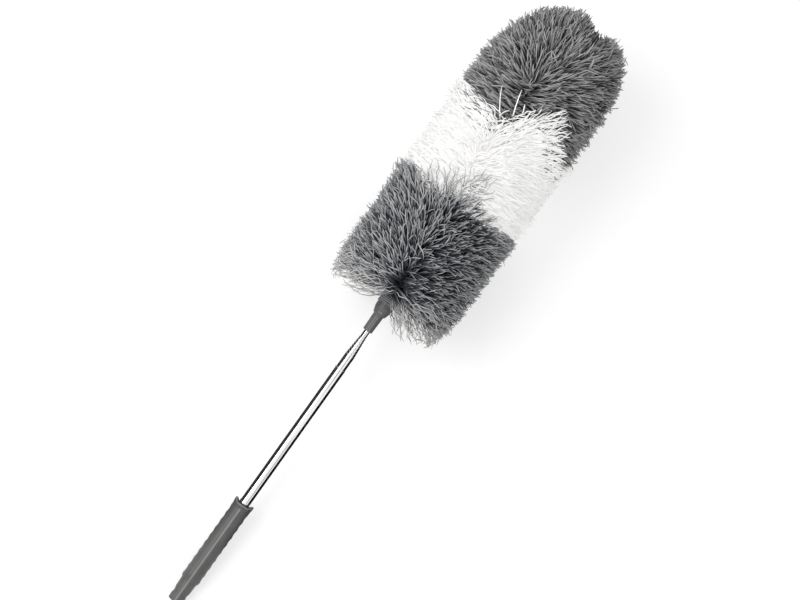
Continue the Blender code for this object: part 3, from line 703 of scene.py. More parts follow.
# Connector and cuff
SOCKET_LENGTH = 0.0200
SHOULDER_LENGTH = 0.0080
SHOULDER_LEDGE = 0.0012
CUP_LENGTH = 0.0130
CUP_FLOOR = 0.0020
SOCKET_TAPER = 0.0005
SOCKET_WALL = 0.0016
SOCKET_DEPTH = 0.0165
SPIGOT_BORE = 0.0026
SPIGOT_DEPTH = 0.0063
CORE_CLEARANCE = 0.0003
RIB_HEIGHT = 0.0006
RIB_FLOOR = 0.0002
RIB_HALF_WIDTH = 0.0014
RIDGE_ASIDE = 0.0012
RIDGE_WIDTH = 0.00038
NUB_RADIUS = 0.0012
NUB_HEIGHT = 0.0009
# Strength of the painted highlight on the rib's ridges and the nub
RIDGE_HIGHLIGHT = 1.0


def connector_mesh():
    """Connector: a turned profile of socket, shoulder and cup, raised by the rib and the nub.

    The rib is a step across the angle with soft edges, and the nub a low dome at its end.
    """
    low, high, _ = extent("connector")
    socket = extent("tube_9")[2] + CORE_CLEARANCE + SOCKET_WALL
    core = extent("core_rod")[2] + CORE_CLEARANCE
    cup = core + 0.0040
    shoulder = low + SOCKET_LENGTH
    cup_low = high - CUP_LENGTH
    start = socket + SOCKET_TAPER
    bore = extent("tube_9")[2] + CORE_CLEARANCE
    outer = [
        (high, core, 0.0),
        (high, cup, 0.0010),
        (cup_low, cup, 0.0012),
        (shoulder + SHOULDER_LENGTH * 0.45, start + (cup - start) * 0.62, 0.0012),
        (shoulder + 0.0006, start + SHOULDER_LEDGE, 0.0004),
        (shoulder, start, 0.0003),
    ]
    outer_points = rounded(outer + [(low, start, 0.0)], 7)
    rows = np.linspace(shoulder - 0.0004, low + 0.0005, 60)
    taper = socket + SOCKET_TAPER * (rows - low) / SOCKET_LENGTH
    mouth_turn = np.linspace(0.0, math.pi / 2, 5)
    mouth_height = low + 0.0005 * (1 - np.sin(mouth_turn))
    mouth_radius = socket - 0.0005 * (1 - np.cos(mouth_turn))
    upper = outer_points[outer_points[:, 0] > shoulder - 0.0003]
    inside = np.array(
        (
            (low, bore),
            (low + SOCKET_DEPTH, bore),
            (low + SOCKET_DEPTH, SPIGOT_BORE),
            (low + SOCKET_DEPTH + SPIGOT_DEPTH, SPIGOT_BORE),
            (low + SOCKET_DEPTH + SPIGOT_DEPTH, 0.0),
        )
    )
    floor = cup_low + CUP_FLOOR - CORE_CLEARANCE
    top = np.array(((floor, 0.0), (floor, core)))
    height = np.concatenate((top[:, 0], upper[:, 0], rows, mouth_height, inside[:, 0]))[:, None]
    radius = np.concatenate((top[:, 1], upper[:, 1], taper, mouth_radius, inside[:, 1]))[:, None]
    angle = ring(320, 0.40)[None, :]
    first = len(top) + 1
    outside = np.zeros(height.shape)
    outside[first : len(height) - len(inside) - 3] = 1.0
    aside = np.abs(radius * np.sin(angle))
    upper_side = (np.cos(angle) > 0) * outside
    run = smooth_step(height, low + 0.0010, low + 0.0018)
    run = run * (1 - smooth_step(height, shoulder - 0.0012, shoulder - 0.0002))
    plateau = RIB_FLOOR * (1 - smooth_step(aside, RIB_HALF_WIDTH, RIB_HALF_WIDTH + RIDGE_WIDTH))
    ridge = np.exp(-(((aside - RIDGE_ASIDE) / RIDGE_WIDTH) ** 2))
    nub_height = shoulder + SHOULDER_LENGTH * 0.45
    distance = np.hypot(aside - RIDGE_ASIDE, height - nub_height) / NUB_RADIUS
    nub = np.sqrt(np.clip(1 - distance**2, 0.0, 1.0))
    raised = np.maximum((plateau + (RIB_HEIGHT - RIB_FLOOR) * ridge) * run, NUB_HEIGHT * nub)
    # Painted highlight on the rib's ridges and the nub, on the upper side
    worn = RIDGE_HIGHLIGHT * np.maximum(ridge**2 * run, nub) * upper_side
    radius = radius + raised * upper_side + mould_line(aside, angle) * outside
    return shell("connector_shell", height, radius, angle, False, 50.0, worn=worn)


def mould_line(aside, angle):
    """The parting line on the lower side only."""
    return 0.6 * SEAM_HEIGHT * np.exp(-((aside / SEAM_WIDTH) ** 2)) * (np.cos(angle) < 0)


def cuff_mesh():
    """Cuff: fabric gathered over the cup, with folds that deepen towards the neck.

    The outline falls from the cup to the neck along half a cosine, and the folds are cosines of
    two unlike counts round the pole.
    """
    low, high, outer = extent("neck_cuff")
    cup_top = extent("connector")[1]
    neck = extent("core_rod")[2] + 0.0014
    down = np.linspace(0.0, 1.0, 60)
    height = high + (low - high) * down
    fall = smooth_step(height, cup_top - 0.001, high - 0.001)
    skin = outer + (neck - outer) * fall
    angle = ring(240)[None, :]
    depth = (0.00020 + 0.00090 * fall * (1 - fall) * 2.2 + 0.00025 * fall)[:, None]
    folds = 0.6 * np.cos(13 * angle + 1.3) + 0.4 * np.cos(21 * angle + 0.4 + 30.0 * height[:, None] / outer)
    outside = skin[:, None] + depth * (folds - 0.9)
    hem = 0.00035 * np.exp(-(((height - low - 0.0012) / 0.0007) ** 2))[:, None]
    outside = outside + hem - 0.00035
    inner_height = np.array((low, cup_top + 0.0003, cup_top + 0.0003, high))
    cup = extent("core_rod")[2] + CORE_CLEARANCE + 0.0040
    inner = np.array((cup + 0.00025, cup + 0.00025, neck - 0.0011, neck - 0.0011))
    height_all = np.concatenate((height, inner_height))[:, None] + 0 * angle
    radius_all = np.concatenate((outside, inner[:, None] + 0 * angle))
    return shell("cuff_shell", height_all, radius_all, angle, sharp_degrees=60.0)


# Fluff
HEAD_RADIUS = 0.0716
HEAD_NOSE = 0.6125
NOSE_GAP = 0.0000001
DOME_START = 0.5120
DOME_POWER = 2.45
DOME_LEAN = 0.0070
LEAN_START = 0.5000
NOSE_DENT = 0.0088
DENT_ASIDE = 0.0165
DENT_WIDTH = 0.0115
DENT_START = 0.5700
SKIRT_TOP = 0.2800
SKIRT_LOW = 0.2300
SKIRT_RADIUS = 0.0500
BACKING_RADIUS = 0.0086
BACKING_WALL = 0.0033
SKIRT_MIDDLE = 0.05
STRAND_POINTS = 11
WISP_POINTS = 30
POINTS_PER_PIECE = 33000
FLOOR_LIFT = 0.0007


def girth(height):
    """Radius of the fluff without its dome: straight, and drawn in by a square at the skirt."""
    skirt = np.clip((SKIRT_TOP - height) / (SKIRT_TOP - SKIRT_LOW), 0.0, 1.0)
    return HEAD_RADIUS - (HEAD_RADIUS - SKIRT_RADIUS) * skirt**2


def dome_part(height):
    """How far a height lies along the dome, from 0 to 1."""
    return np.clip((height - DOME_START) / (HEAD_NOSE - DOME_START), 0.0, 1.0)


def outline(height):
    """Radius of the fluff's outer form, whose dome is a superellipse."""
    return girth(height) * (1 - dome_part(height) ** DOME_POWER) ** (1 / DOME_POWER)


def lean(height):
    """How far the head leans to the right towards its nose."""
    return DOME_LEAN * smooth_step(height, LEAN_START, HEAD_NOSE)


def surface(height, angle):
    """Points on the fluff's outer form, with a bell-shaped dent down the nose."""
    radius = outline(height)
    aside = radius * np.sin(angle) + lean(height)
    dent = NOSE_DENT * np.exp(-(((aside - DENT_ASIDE) / DENT_WIDTH) ** 2))
    dent = dent * smooth_step(height, DENT_START, HEAD_NOSE)
    return place(height - dent, radius, angle) + lean(height)[..., None] * RIGHT


def depth_below(points):
    """How far points lie below the outer form, by the superellipse's own measure."""
    offset = points - RIM_CENTRE
    height = offset @ ALONG
    radius = np.hypot(offset @ RIGHT - lean(height), offset @ UPWARD)
    share = dome_part(height) ** DOME_POWER + (radius / girth(height)) ** DOME_POWER
    return (1 - share ** (1 / DOME_POWER)) * HEAD_RADIUS


def unit(vectors):
    """Vectors of length one."""
    return vectors / np.maximum(np.linalg.norm(vectors, axis=-1, keepdims=True), 1e-9)


def outward(points):
    """Unit directions away from the pole's axis."""
    offset = points - RIM_CENTRE
    return unit(offset - (offset @ ALONG)[..., None] * ALONG)


def surface_normal(height, angle):
    """Outward direction of the fluff's form, from small steps along it and round it."""
    step = 0.0005
    along = surface(height + step, angle) - surface(height - step, angle)
    around = surface(height, angle + 0.01) - surface(height, angle - 0.01)
    return unit(np.cross(around, along))


def wrap(angle):
    """Angles brought between minus half a turn and half a turn."""
    return (angle + math.pi) % math.tau - math.pi


def bell(angle, centre, width):
    """A bell curve of the angle."""
    return np.exp(-((wrap(angle - centre) / width) ** 2))


def on_right(angle):
    """From 0 on the left side to 1 on the right side."""
    return smooth_step(np.sin(angle), -0.3, 0.3)


def lower_start(angle):
    """Lowest height of the lower band, which is highest over the cup."""
    side = np.abs(wrap(angle - SKIRT_MIDDLE))
    return 0.268 - (0.008 + 0.007 * on_right(angle)) * smooth_step(side, 0.12, 0.36)


def lower_end(angle):
    """Height where the lower band's closed pile ends."""
    sides = 0.012 * bell(angle, 0.30, 0.45) + 0.005 * bell(angle, -1.05, 0.60)
    return 0.379 + sides + 0.006 * bell(angle, math.pi, 0.9)


def middle_end(angle):
    """Height where the white band's closed pile ends."""
    right = 0.029 * bell(angle, 0.48, 0.42)
    left = 0.010 * smooth_step(-wrap(angle), 0.5, 1.3)
    return 0.4715 + right + left - 0.007 * bell(angle, -0.18, 0.16)


def upper_end(angle):
    """Height of the nose, where the upper band ends."""
    return HEAD_NOSE + 0.0 * angle


def lower_wisps(angle):
    """How far single strands hang below the lower band."""
    side = smooth_step(np.abs(wrap(angle - SKIRT_MIDDLE)), 0.16, 0.42)
    return 0.002 + (0.018 + 0.010 * bell(angle, 0.5, 0.4)) * side


def upper_wisps(angle):
    """How far single strands reach over the white band: a flat-topped bell curve."""
    return 0.034 * np.exp(-(((wrap(angle) + 0.12) / 0.56) ** 4))


def no_wisps(angle):
    """No single strands beyond a band's end."""
    return 0.0 * angle


# Each band's tips lie between its start and its end, and single wisps go on past both. Its
# strands point away from the parting, which runs from one height and angle to another, and
# follow says how closely, left, right and in the middle. Near the parting a share of the strands
# is missing and the tips sink. Tousled tells how much the strands of the right side stand up and
# cross each other.
# In each finish the colours run from deep to tip with the painted shade of the light mark, mixed with tone
# that differs at random; the white band's glow is painted light
BANDS = {
    "lower_pile": {
        "count": 7900,
        "roots": (0.270, 0.366),
        "start": lower_start,
        "end": lower_end,
        "wisps": (lower_wisps, upper_wisps),
        "wisp_share": (0.32, 0.34),
        "parting": (0.2685, 0.346, -0.02, -0.14),
        "deepest": 0.0,
        "follow": (0.10, 0.10, 0.50),
        "missing": 0.80,
        "sink": 0.026,
        "sway": 0.28,
        "wave": (0.0001, 0.0009),
        "turns": (2.0, 5.0),
        "tousled": 1.0,
        "over": 0.0020,
        "tuck": 0.0,
        "width": 0.00112,
        "finish": ("grey_microfibre", (0.005, 0.006, 0.010), (0.108, 0.115, 0.133),
                   (0.560, 0.564, 0.572), (0.720, 0.708, 0.685), 0.84, 0.0, 0.42),
        "slot": "grey_fibre",
    },
    "middle_pile": {
        "count": 6200,
        "roots": (0.374, 0.441),
        "start": lambda angle: lower_end(angle) - 0.017,
        "end": middle_end,
        "wisps": (no_wisps, lambda angle: 0.004 + 0.013 * bell(angle, 0.40, 0.36)),
        "wisp_share": (0.0, 0.30),
        "parting": (0.384, 0.471, -0.25, -0.20),
        "deepest": 1.0,
        "follow": (0.93, 0.42, 0.0),
        "missing": 0.0,
        "sink": 0.001,
        "sway": 0.25,
        "wave": (0.0001, 0.0008),
        "turns": (1.5, 3.5),
        "tousled": 0.0,
        "over": 0.0020,
        "tuck": 0.009,
        "width": 0.00125,
        "finish": ("white_microfibre", (0.735, 0.730, 0.717), (0.77, 0.765, 0.752),
                   (0.785, 0.783, 0.775), (0.795, 0.795, 0.79), 0.08, 0.64, 0.92),
        "slot": "white_fibre",
    },
    "upper_pile": {
        "count": 8600,
        "roots": (0.448, 0.556),
        "start": lambda angle: middle_end(angle) - 0.022,
        "end": upper_end,
        "wisps": (no_wisps, no_wisps),
        "wisp_share": (0.0, 0.0),
        "parting": (0.478, 0.511, -0.075, -0.15),
        "deepest": 0.8,
        "follow": (0.93, 0.25, 0.25),
        "missing": 0.55,
        "sink": 0.011,
        "sway": 0.18,
        "wave": (0.0001, 0.0006),
        "turns": (1.0, 2.6),
        "tousled": 0.0,
        "over": 0.0,
        "tuck": 0.005,
        "width": 0.00124,
        "finish": ("dark_microfibre", (0.008, 0.008, 0.009), (0.150, 0.151, 0.153),
                   (0.480, 0.481, 0.483), (0.570, 0.570, 0.570), 0.82, 0.0, 0.42),
        "slot": "grey_fibre",
    },
}
PARTING_GAP = 0.015
KNOT_HEIGHT = 0.2735
KNOT_REACH = 0.009
KNOT_SHADE = 0.45
HOLLOW_REACH = 0.034
HOLLOW_SHADE = 0.12
UNDER_ANGLES = (1.95, 2.35)
UNDER_THINNER = 0.25
STEEPEST = 0.35
CLUMP_SIZE = 4
CLUMP_DRAW = 0.26
UNRULY_SHARE = 0.10
UNRULY_JITTER = 0.95
TOUSLED_PLACE = (0.62, 0.50)
TOUSLED_JITTER = 0.34
TOUSLED_RISE = 0.55
TOUSLED_DEPTH = 0.0012
TOUSLED_START = (0.272, 0.305)
PARTING_RISE = 0.5
PARTING_EASE = 0.85
NOSE_RISE = 1.0
NOSE_CAP = 0.030
UNRULY_LIFT = 0.0012
WISP_LIFT = 0.0022
TIP_SPREAD = 0.0036
TIP_PROUD = 0.0018
TIP_CROWDING = 1.8
TUFT_LIFT = 0.0036
WISP_WAVE = (0.0004, 0.0012)
WISP_TURNS = (5.0, 9.0)
SHAFT_REACH = 0.050
NOSE_STEM = 0.75
WISP_WIDTH = 0.84
TUCK_LENGTH = 0.024
PALE_LENGTH = 0.036
PALE_SHARE = 0.72
DEPTH_SCALE = 0.0062


def away_from_parting(height, angle, band, under):
    """The nearest place of the parting, and the way from it to tips at heights and angles.

    The way has a share along the pole and a share round it. The share round it grows as the
    tangent of the angle, up to a limit, so that from above the strands fan out in straight
    lines. How close tips are to the parting is a bell curve of the distance, which eases off
    away from the parting's deepest part.
    """
    low, high, low_angle, high_angle = band["parting"]
    left, right, middle = band["follow"]
    follow = left + (right - left) * on_right(angle) + middle * bell(angle, 0.0, 0.5)
    part = np.clip(follow * (height - low) / (high - low), 0.0, 1.0)
    parting_height = low + (high - low) * part
    parting_angle = np.where(under, math.pi, low_angle + (high_angle - low_angle) * part)
    turn = wrap(angle - parting_angle)
    around = HEAD_RADIUS * np.sin(turn) / np.maximum(np.cos(turn), STEEPEST)
    along = height - parting_height
    close = np.exp(-((np.hypot(along, around) / PARTING_GAP) ** 2))
    close = close * (1 - PARTING_EASE * np.abs(part - band["deepest"]))
    return parting_height, parting_angle, along, around, close


def tip_places(band):
    """Heights and angles of the tips, evenly over the band's part of the form.

    Some are missing close to the parting and underneath. Past the band's start and end the
    strands thin out to nothing along a parabola.
    """
    wanted = band["count"]
    many = wanted * 6
    angle = chance.uniform(-math.pi, math.pi, many)
    start, end = band["start"](angle), band["end"](angle)
    below, beyond = (wisps(angle) + WELD for wisps in band["wisps"])
    low, high = (start - below).min(), min((end + beyond).max(), HEAD_NOSE - NOSE_GAP)
    rows = high - (high - low) * np.linspace(1.0, 0.0, 400) ** 3
    run = np.hypot(np.diff(rows), np.diff(outline(rows)))
    run = np.concatenate(([0.0], np.cumsum(run)))
    height = np.interp(chance.uniform(0.0, run[-1], many), run, rows)
    share_below, share_beyond = band["wisp_share"]
    share = np.where(height < start, share_below * (1 - ((start - height) / below) ** 2), 1.0)
    share = np.where(height > end, share_beyond * (1 - ((height - end) / beyond) ** 2), share)
    close = away_from_parting(height, angle, band, False)[-1]
    share = share * outline(height) / HEAD_RADIUS * (1 - band["missing"] * close)
    share = share * (1 - UNDER_THINNER * smooth_step(np.abs(angle), *UNDER_ANGLES))
    chosen = np.flatnonzero(chance.uniform(0.0, 1.0, many) < share)[:wanted]
    loose = (height < start) | (height > end)
    return height[chosen], angle[chosen], loose[chosen]


def nearest_clump(tip):
    """Number of each tip's clump, the nearest of some tips that are picked as centres."""
    count = max(1, len(tip) // CLUMP_SIZE)
    centres = chance.choice(len(tip), count, replace=False)
    owner = np.empty(len(tip), dtype=int)
    for start in range(0, len(tip), 500):
        gap = np.linalg.norm(tip[start : start + 500, None] - tip[centres][None], axis=-1)
        owner[start : start + 500] = np.argmin(gap, axis=1)
    return owner, centres


def curved(root, away, shoulder, tip, steps):
    """Points along cubic curves of four control points, closer together towards the tip."""
    part = 1 - (1 - np.linspace(0.0, 1.0, steps)) ** TIP_CROWDING
    part = part[None, :, None]
    rising = (1 - part) ** 3 * root[:, None] + 3 * part * (1 - part) ** 2 * away[:, None]
    lying = 3 * part**2 * (1 - part) * shoulder[:, None] + part**3 * tip[:, None]
    return rising + lying, part


def curled(path, part, aside, normal, wave, turns):
    """Paths with sine waves along them, sideways and up, which grow towards the tips."""
    count = len(path)
    size = chance.uniform(*wave, (count, 1, 1)) * part**1.5
    turns = chance.uniform(*turns, (count, 1, 1))
    phase = chance.uniform(0.0, math.tau, (2, count, 1, 1))
    path = path + size * np.sin(part * turns * math.tau + phase[0]) * aside[:, None]
    return path + 0.7 * size * np.sin(part * turns * 5.1 + phase[1]) * normal[:, None]


def strand_groups(band):
    """Paths of a band's strands, each a cubic curve from the backing to the fluff's form.

    A strand leaves the backing straight outwards, below the parting or a set way short of its
    tip, and bends over towards its tip. The tips of a clump draw together, and sine waves run
    along each strand.
    """
    height, angle, loose = tip_places(band)
    count = len(height)
    under = chance.uniform(0.0, 1.0, count) < smooth_step(np.abs(angle), *UNDER_ANGLES)
    parting = away_from_parting(height, angle, band, under)
    parting_height, parting_angle, along, around, close = parting
    distance = np.hypot(along, around)
    normal = surface_normal(height, angle)
    tip = surface(height, angle)
    owner, centres = nearest_clump(tip)
    draw = np.where(loose, 0.0, CLUMP_DRAW)[:, None]
    tip = tip + draw * (tip[centres][owner] - tip)
    round_way = unit(np.cross(ALONG, outward(tip)))
    way = unit(along[:, None] * np.cross(normal, round_way) + around[:, None] * round_way)
    aside = np.cross(normal, way)
    unruly = chance.uniform(0.0, 1.0, count) < UNRULY_SHARE
    tousled = band["tousled"] * bell(angle, *TOUSLED_PLACE)
    tousled = tousled * smooth_step(height, *TOUSLED_START)
    sway = np.where(unruly, UNRULY_JITTER, band["sway"]) + TOUSLED_JITTER * tousled
    sway = chance.normal(0.0, 1.0, count) * sway
    way = unit(way + sway[:, None] * aside)

    sunk = np.abs(chance.normal(0.0, TIP_SPREAD, count)) + band["sink"] * close
    sunk = sunk + np.abs(chance.normal(0.0, 0.0014, len(centres)))[owner]
    sunk = sunk + tousled * np.abs(chance.normal(0.0, TOUSLED_DEPTH, count))
    end = band["end"](angle)
    over = band["over"] * smooth_step(height, end - 0.030, end)
    over = over + chance.normal(0.0, 0.0009, count)
    tuft = TUFT_LIFT * chance.uniform(0.0, 1.0, len(centres)) ** 5
    over = over + np.where(loose, 0.0, tuft[owner])
    start = band["start"](angle)
    over = over - band["tuck"] * (1 - smooth_step(height, start, start + TUCK_LENGTH))
    over = over + np.where(loose, WISP_LIFT, 0.0) + np.where(unruly, UNRULY_LIFT, 0.0)
    tip = tip + (TIP_PROUD - np.where(loose, 0.2 * sunk, sunk) + over)[:, None] * normal
    rise = chance.uniform(0.20, 0.95, count) + PARTING_RISE * close + TOUSLED_RISE * tousled
    rise = rise + NOSE_RISE * np.clip(1 - outline(height) / NOSE_CAP, 0.0, 1.0)
    rise = np.where(loose, 0.5 * rise, rise)
    heading = unit(way + rise[:, None] * normal)
    shoulder = tip - heading * chance.uniform(0.024, 0.038, (count, 1))

    share = np.clip(1 - SHAFT_REACH / np.maximum(distance, WELD), 0.0, 1.0)
    root_height = parting_height + (height - parting_height) * share
    root_height = root_height + chance.normal(0.0, 0.005, count)
    root_height = np.clip(root_height, *band["roots"])
    root_angle = parting_angle + wrap(angle - parting_angle) * share
    root_angle = root_angle + chance.normal(0.0, 0.16, count)
    root = place(root_height, np.full(count, BACKING_RADIUS - BACKING_WALL / 2), root_angle)
    stem = np.minimum(chance.uniform(0.036, 0.052, count), NOSE_STEM * outline(height) + 0.003)
    ahead = 0.15 + 0.45 * dome_part(height) ** 2
    away = place(root_height + ahead * (height - root_height), stem, root_angle)

    tone = 0.80 * chance.uniform(0.0, 1.0, count)
    tone = tone + 0.20 * chance.uniform(0.0, 1.0, len(centres))[owner]
    tone = np.where(loose | unruly, 0.70 + 0.30 * tone, tone)
    pale = PALE_SHARE * (1 - smooth_step(height, start - 0.004, start + PALE_LENGTH))
    pale = pale * (band["tuck"] == 0) * smooth_step(np.abs(angle), 0.15, 0.45)
    tone = tone + (1 - tone) * pale
    pit = 0.85 * band["sink"] * close

    groups = []
    for label, chosen, steps, wave, turns, width in (
        ("strands", ~loose, STRAND_POINTS, band["wave"], band["turns"], 1.0),
        ("wisps", loose, WISP_POINTS, WISP_WAVE, WISP_TURNS, WISP_WIDTH),
    ):
        if not chosen.any():
            continue
        corners = (corner[chosen] for corner in (root, away, shoulder, tip))
        path, part = curved(*corners, steps)
        path = curled(path, part, aside[chosen], normal[chosen], wave, turns)
        # Painted shade: the light mark falls off with depth below the fluff's form, towards the roots and
        # round the knot; wisps stay lighter towards their tips
        depth = depth_below(path) - pit[chosen, None] - 0.001
        light = np.exp(-np.maximum(depth, 0.0) / DEPTH_SCALE)
        light = light * (0.35 + 0.65 * smooth_step(part[..., 0], 0.45, 0.92))
        if label == "wisps":
            light = np.maximum(light, 0.75 * part[..., 0])
        light = light * knot_light(path)
        groups.append((label, press_down(path), tone[chosen], light, angle[chosen], width))
    return groups


def knot_light(path):
    """Painted shade: light falls off as a bell curve towards the line down which the knot over the cup is
    seen.
    """
    knot = RIM_CENTRE + KNOT_HEIGHT * ALONG
    offset = path - knot
    offset = offset - np.maximum(offset @ UPWARD, 0.0)[..., None] * UPWARD
    away = np.linalg.norm(offset, axis=-1)
    knot = KNOT_SHADE * np.exp(-((away / KNOT_REACH) ** 2))
    return (1 - knot) * (1 - HOLLOW_SHADE * np.exp(-((away / HOLLOW_REACH) ** 2)))


# Single white strands over the upper band: heights and angles where they leave the fluff and end
STRAYS = (
    (0.472, -0.26, 0.496, -0.46),
    (0.4805, -0.10, 0.503, -0.19),
    (0.486, 0.00, 0.493, -0.04),
    (0.471, -0.23, 0.480, -0.16),
)
STRAY_LIFT = 0.0030
STRAY_RISE = 4


def stray_paths():
    """Paths of single strands: a cubic curve up to the fluff's form, then a line along it."""
    start, start_angle, end, end_angle = np.array(STRAYS).T[:, :, None]
    part = np.linspace(0.0, 1.0, STRAND_POINTS - STRAY_RISE)[None, :]
    height = start + (end - start) * part
    angle = start_angle + (end_angle - start_angle) * part
    bow = STRAY_LIFT * (0.4 + np.sin(math.pi * part))
    lying = surface(height, angle) + bow[..., None] * surface_normal(height, angle)
    root = place(start - 0.02, np.full(start.shape, BACKING_RADIUS - BACKING_WALL / 2), start_angle)
    bend = lying[:, :1] - 0.012 * unit(lying[:, 1:2] - lying[:, :1]) - 0.012 * outward(lying[:, :1])
    part = np.linspace(0.0, 1.0, STRAY_RISE, endpoint=False)[None, :, None]
    rising = (1 - part) ** 2 * root + 2 * part * (1 - part) * bend + part**2 * lying[:, :1]
    path = np.concatenate((rising, lying), axis=1)
    count, steps = path.shape[:2]
    shade = np.ones((count, steps))
    return "strays", path, np.full(count, 0.8), shade, start_angle[:, 0], 1.0


def press_down(path):
    """Bends what would pass through the floor so that it lies on it.

    The height above the floor goes through a soft ramp, whose softness differs from strand to
    strand, so that the strands pile up.
    """
    softness = chance.uniform(0.0008, 0.0030, path.shape[:1] + (1,))
    level = path[..., 2] - FLOOR_LIFT
    lifted = path.copy()
    lifted[..., 2] = FLOOR_LIFT + softness * np.logaddexp(0.0, level / softness)
    return lifted


def strand_mesh(name, path, tone, light, width):
    """Three-sided strands: a flat triangle carried along each path and narrowed at its ends.

    Its wide side faces away from the pole's axis, turned by an amount of its own, and the
    triangle's ridge lies above that side.
    """
    count, steps = path.shape[:2]
    tangent = unit(np.gradient(path, axis=1))
    across = unit(np.cross(tangent, outward(path)))
    ridge = np.cross(across, tangent)
    part = np.linspace(0.0, 1.0, steps)[None, :, None]
    twist = chance.normal(0.0, 0.5, (count, 1, 1)) + chance.normal(0.0, 0.9, (count, 1, 1)) * part
    turned = across * np.cos(twist) + ridge * np.sin(twist)
    raised = ridge * np.cos(twist) - across * np.sin(twist)
    taper = np.minimum(1.0, 0.40 + 3.0 * (1 - part)) * np.minimum(1.0, 0.45 + 1.6 * part)
    size = chance.uniform(0.75, 1.2, (count, 1, 1)) * taper * width
    corners = (path - turned * size / 2, path + turned * size / 2, path + raised * size * 0.5)
    corners = np.stack(corners, axis=2)
    first = (np.arange(count) * steps * 3)[:, None, None]
    here = first + (np.arange(steps - 1) * 3)[None, :, None]
    corner = np.arange(3)[None, None, :]
    onward = (corner + 1) % 3
    sides = (here + corner, here + onward, here + 3 + onward, here + 3 + corner)
    sides = np.stack(sides, axis=-1).reshape(-1, 4)
    base = first[:, 0] + np.array([[0, 2, 1]])
    last = first[:, 0] + (steps - 1) * 3 + np.array([[0, 1, 2]])
    mesh = mesh_of(name, corners.reshape(-1, 3), sides, np.concatenate((base, last)))
    mesh.shade_smooth()
    values = {
        "along": np.broadcast_to(part[..., None], (count, steps, 3, 1)),
        "tone": np.broadcast_to(tone[:, None, None], (count, steps, 3)),
        "light": np.broadcast_to(light[:, :, None], (count, steps, 3)),
        "across": np.broadcast_to(np.array((-1.0, 1.0, 0.0)), (count, steps, 3)),
    }
    for label, value in values.items():
        keep_number(mesh, label, value)
    return mesh


def backing_mesh(node):
    """Backing: the knitted sleeve that the strands are sewn into, with a seam bead down it."""
    height, _ = node_points(node, RIM_CENTRE)
    low = max(float(height.min()), BACKING_SPAN[node][0])
    high = min(float(height.max()), BACKING_SPAN[node][1])
    inner = BACKING_RADIUS - BACKING_WALL
    angle = ring(120)[None, :]
    rows = np.linspace(high, low, 60)[:, None]
    bead = 0.0005 * np.exp(-((wrap(angle - math.pi) * BACKING_RADIUS / 0.0012) ** 2))
    outer = BACKING_RADIUS - 0.0006 + bead + 0.0 * rows
    bore = np.array((low, high))[:, None]
    all_rows = np.concatenate((rows, bore)) + 0.0 * angle
    all_radii = np.concatenate((outer, inner + 0.0 * bore + 0.0 * angle))
    return shell(node + "_backing", all_rows, all_radii, angle)


BACKING_SPAN = {
    "lower_pile": (0.2671, 0.3709),
    "middle_pile": (0.3711, 0.4449),
    "upper_pile": (0.4451, 0.5630),
}


UNDERCOAT_RADIUS = 0.0500
UNDERCOAT_NOSE = 0.5960


def undercoat_mesh(node):
    """Undercoat: the matted roots under the domed end, inside the strands.

    A turned surface like the fluff's outer form, a superellipse on a straight run, that closes
    round the backing.
    """
    low, high = BACKING_SPAN[node]
    part = np.sin(np.linspace(0.0, math.pi / 2, 40))
    dome = DOME_START + (UNDERCOAT_NOSE - DOME_START) * part[::-1]
    size = UNDERCOAT_RADIUS * (1 - part[::-1] ** DOME_POWER) ** (1 / DOME_POWER)
    run = np.linspace(DOME_START, low, 24)[1:]
    inner = BACKING_RADIUS - BACKING_WALL / 2
    ends = np.array(((low, inner), (high, inner), (high, 0.0)))
    height = np.concatenate((dome, run, ends[:, 0]))[:, None]
    radius = np.concatenate((size, np.full(len(run), UNDERCOAT_RADIUS), ends[:, 1]))[:, None]
    return shell(node + "_undercoat", height, radius, ring(96)[None, :], False)


def add_fluff(node, band):
    """The backing and the strands of one band, in pieces that each take a sector of the head."""
    finish = fibre(*band["finish"])
    groups = strand_groups(band)
    if node == "middle_pile":
        groups.append(stray_paths())
    for label, path, tone, light, angle, width in groups:
        order = np.argsort(angle)
        sectors = math.ceil(path.shape[0] * path.shape[1] / POINTS_PER_PIECE)
        for number, chosen in enumerate(np.array_split(order, sectors), 1):
            name = "%s_%s_%d" % (node, label, number)
            mesh = strand_mesh(
                name, path[chosen], tone[chosen], light[chosen], band["width"] * width
            )
            add_piece(name, mesh, finish, "head", band["slot"], node)
    add_piece(node + "_backing", backing_mesh(node), finish, "head", band["slot"], node)
    if node == "upper_pile":
        mesh = undercoat_mesh(node)
        add_piece(node + "_undercoat", mesh, finish, "head", band["slot"], node)


# Studio
VIEW_DISTANCE = 2.2
FRAME_WIDTH = 0.824
SENSOR_WIDTH = 36.0
AIM_HEIGHT = 0.262
AIM_ASIDE = 0.0090
POLE_RISE_DEGREES = 54.51


def add_camera():
    """Camera square to the pole, rolled so that the pole rises to the upper right."""
    rise = math.radians(POLE_RISE_DEGREES)
    right = math.cos(rise) * ALONG + math.sin(rise) * RIGHT
    up = math.sin(rise) * ALONG - math.cos(rise) * RIGHT
    target = RIM_CENTRE + AIM_HEIGHT * ALONG + AIM_ASIDE * RIGHT
    spot = target + VIEW_DISTANCE * UPWARD
    camera = bpy.data.cameras.new("camera")
    camera.sensor_width = SENSOR_WIDTH
    camera.lens = SENSOR_WIDTH * VIEW_DISTANCE / FRAME_WIDTH
    camera.clip_end = 50.0
    item = bpy.data.objects.new("camera", camera)
    bpy.context.scene.collection.objects.link(item)
    item.matrix_world = Matrix(
        [[right[i], up[i], UPWARD[i], spot[i]] for i in range(3)] + [[0, 0, 0, 1]]
    )
    bpy.context.scene.camera = item
    return target, right, up


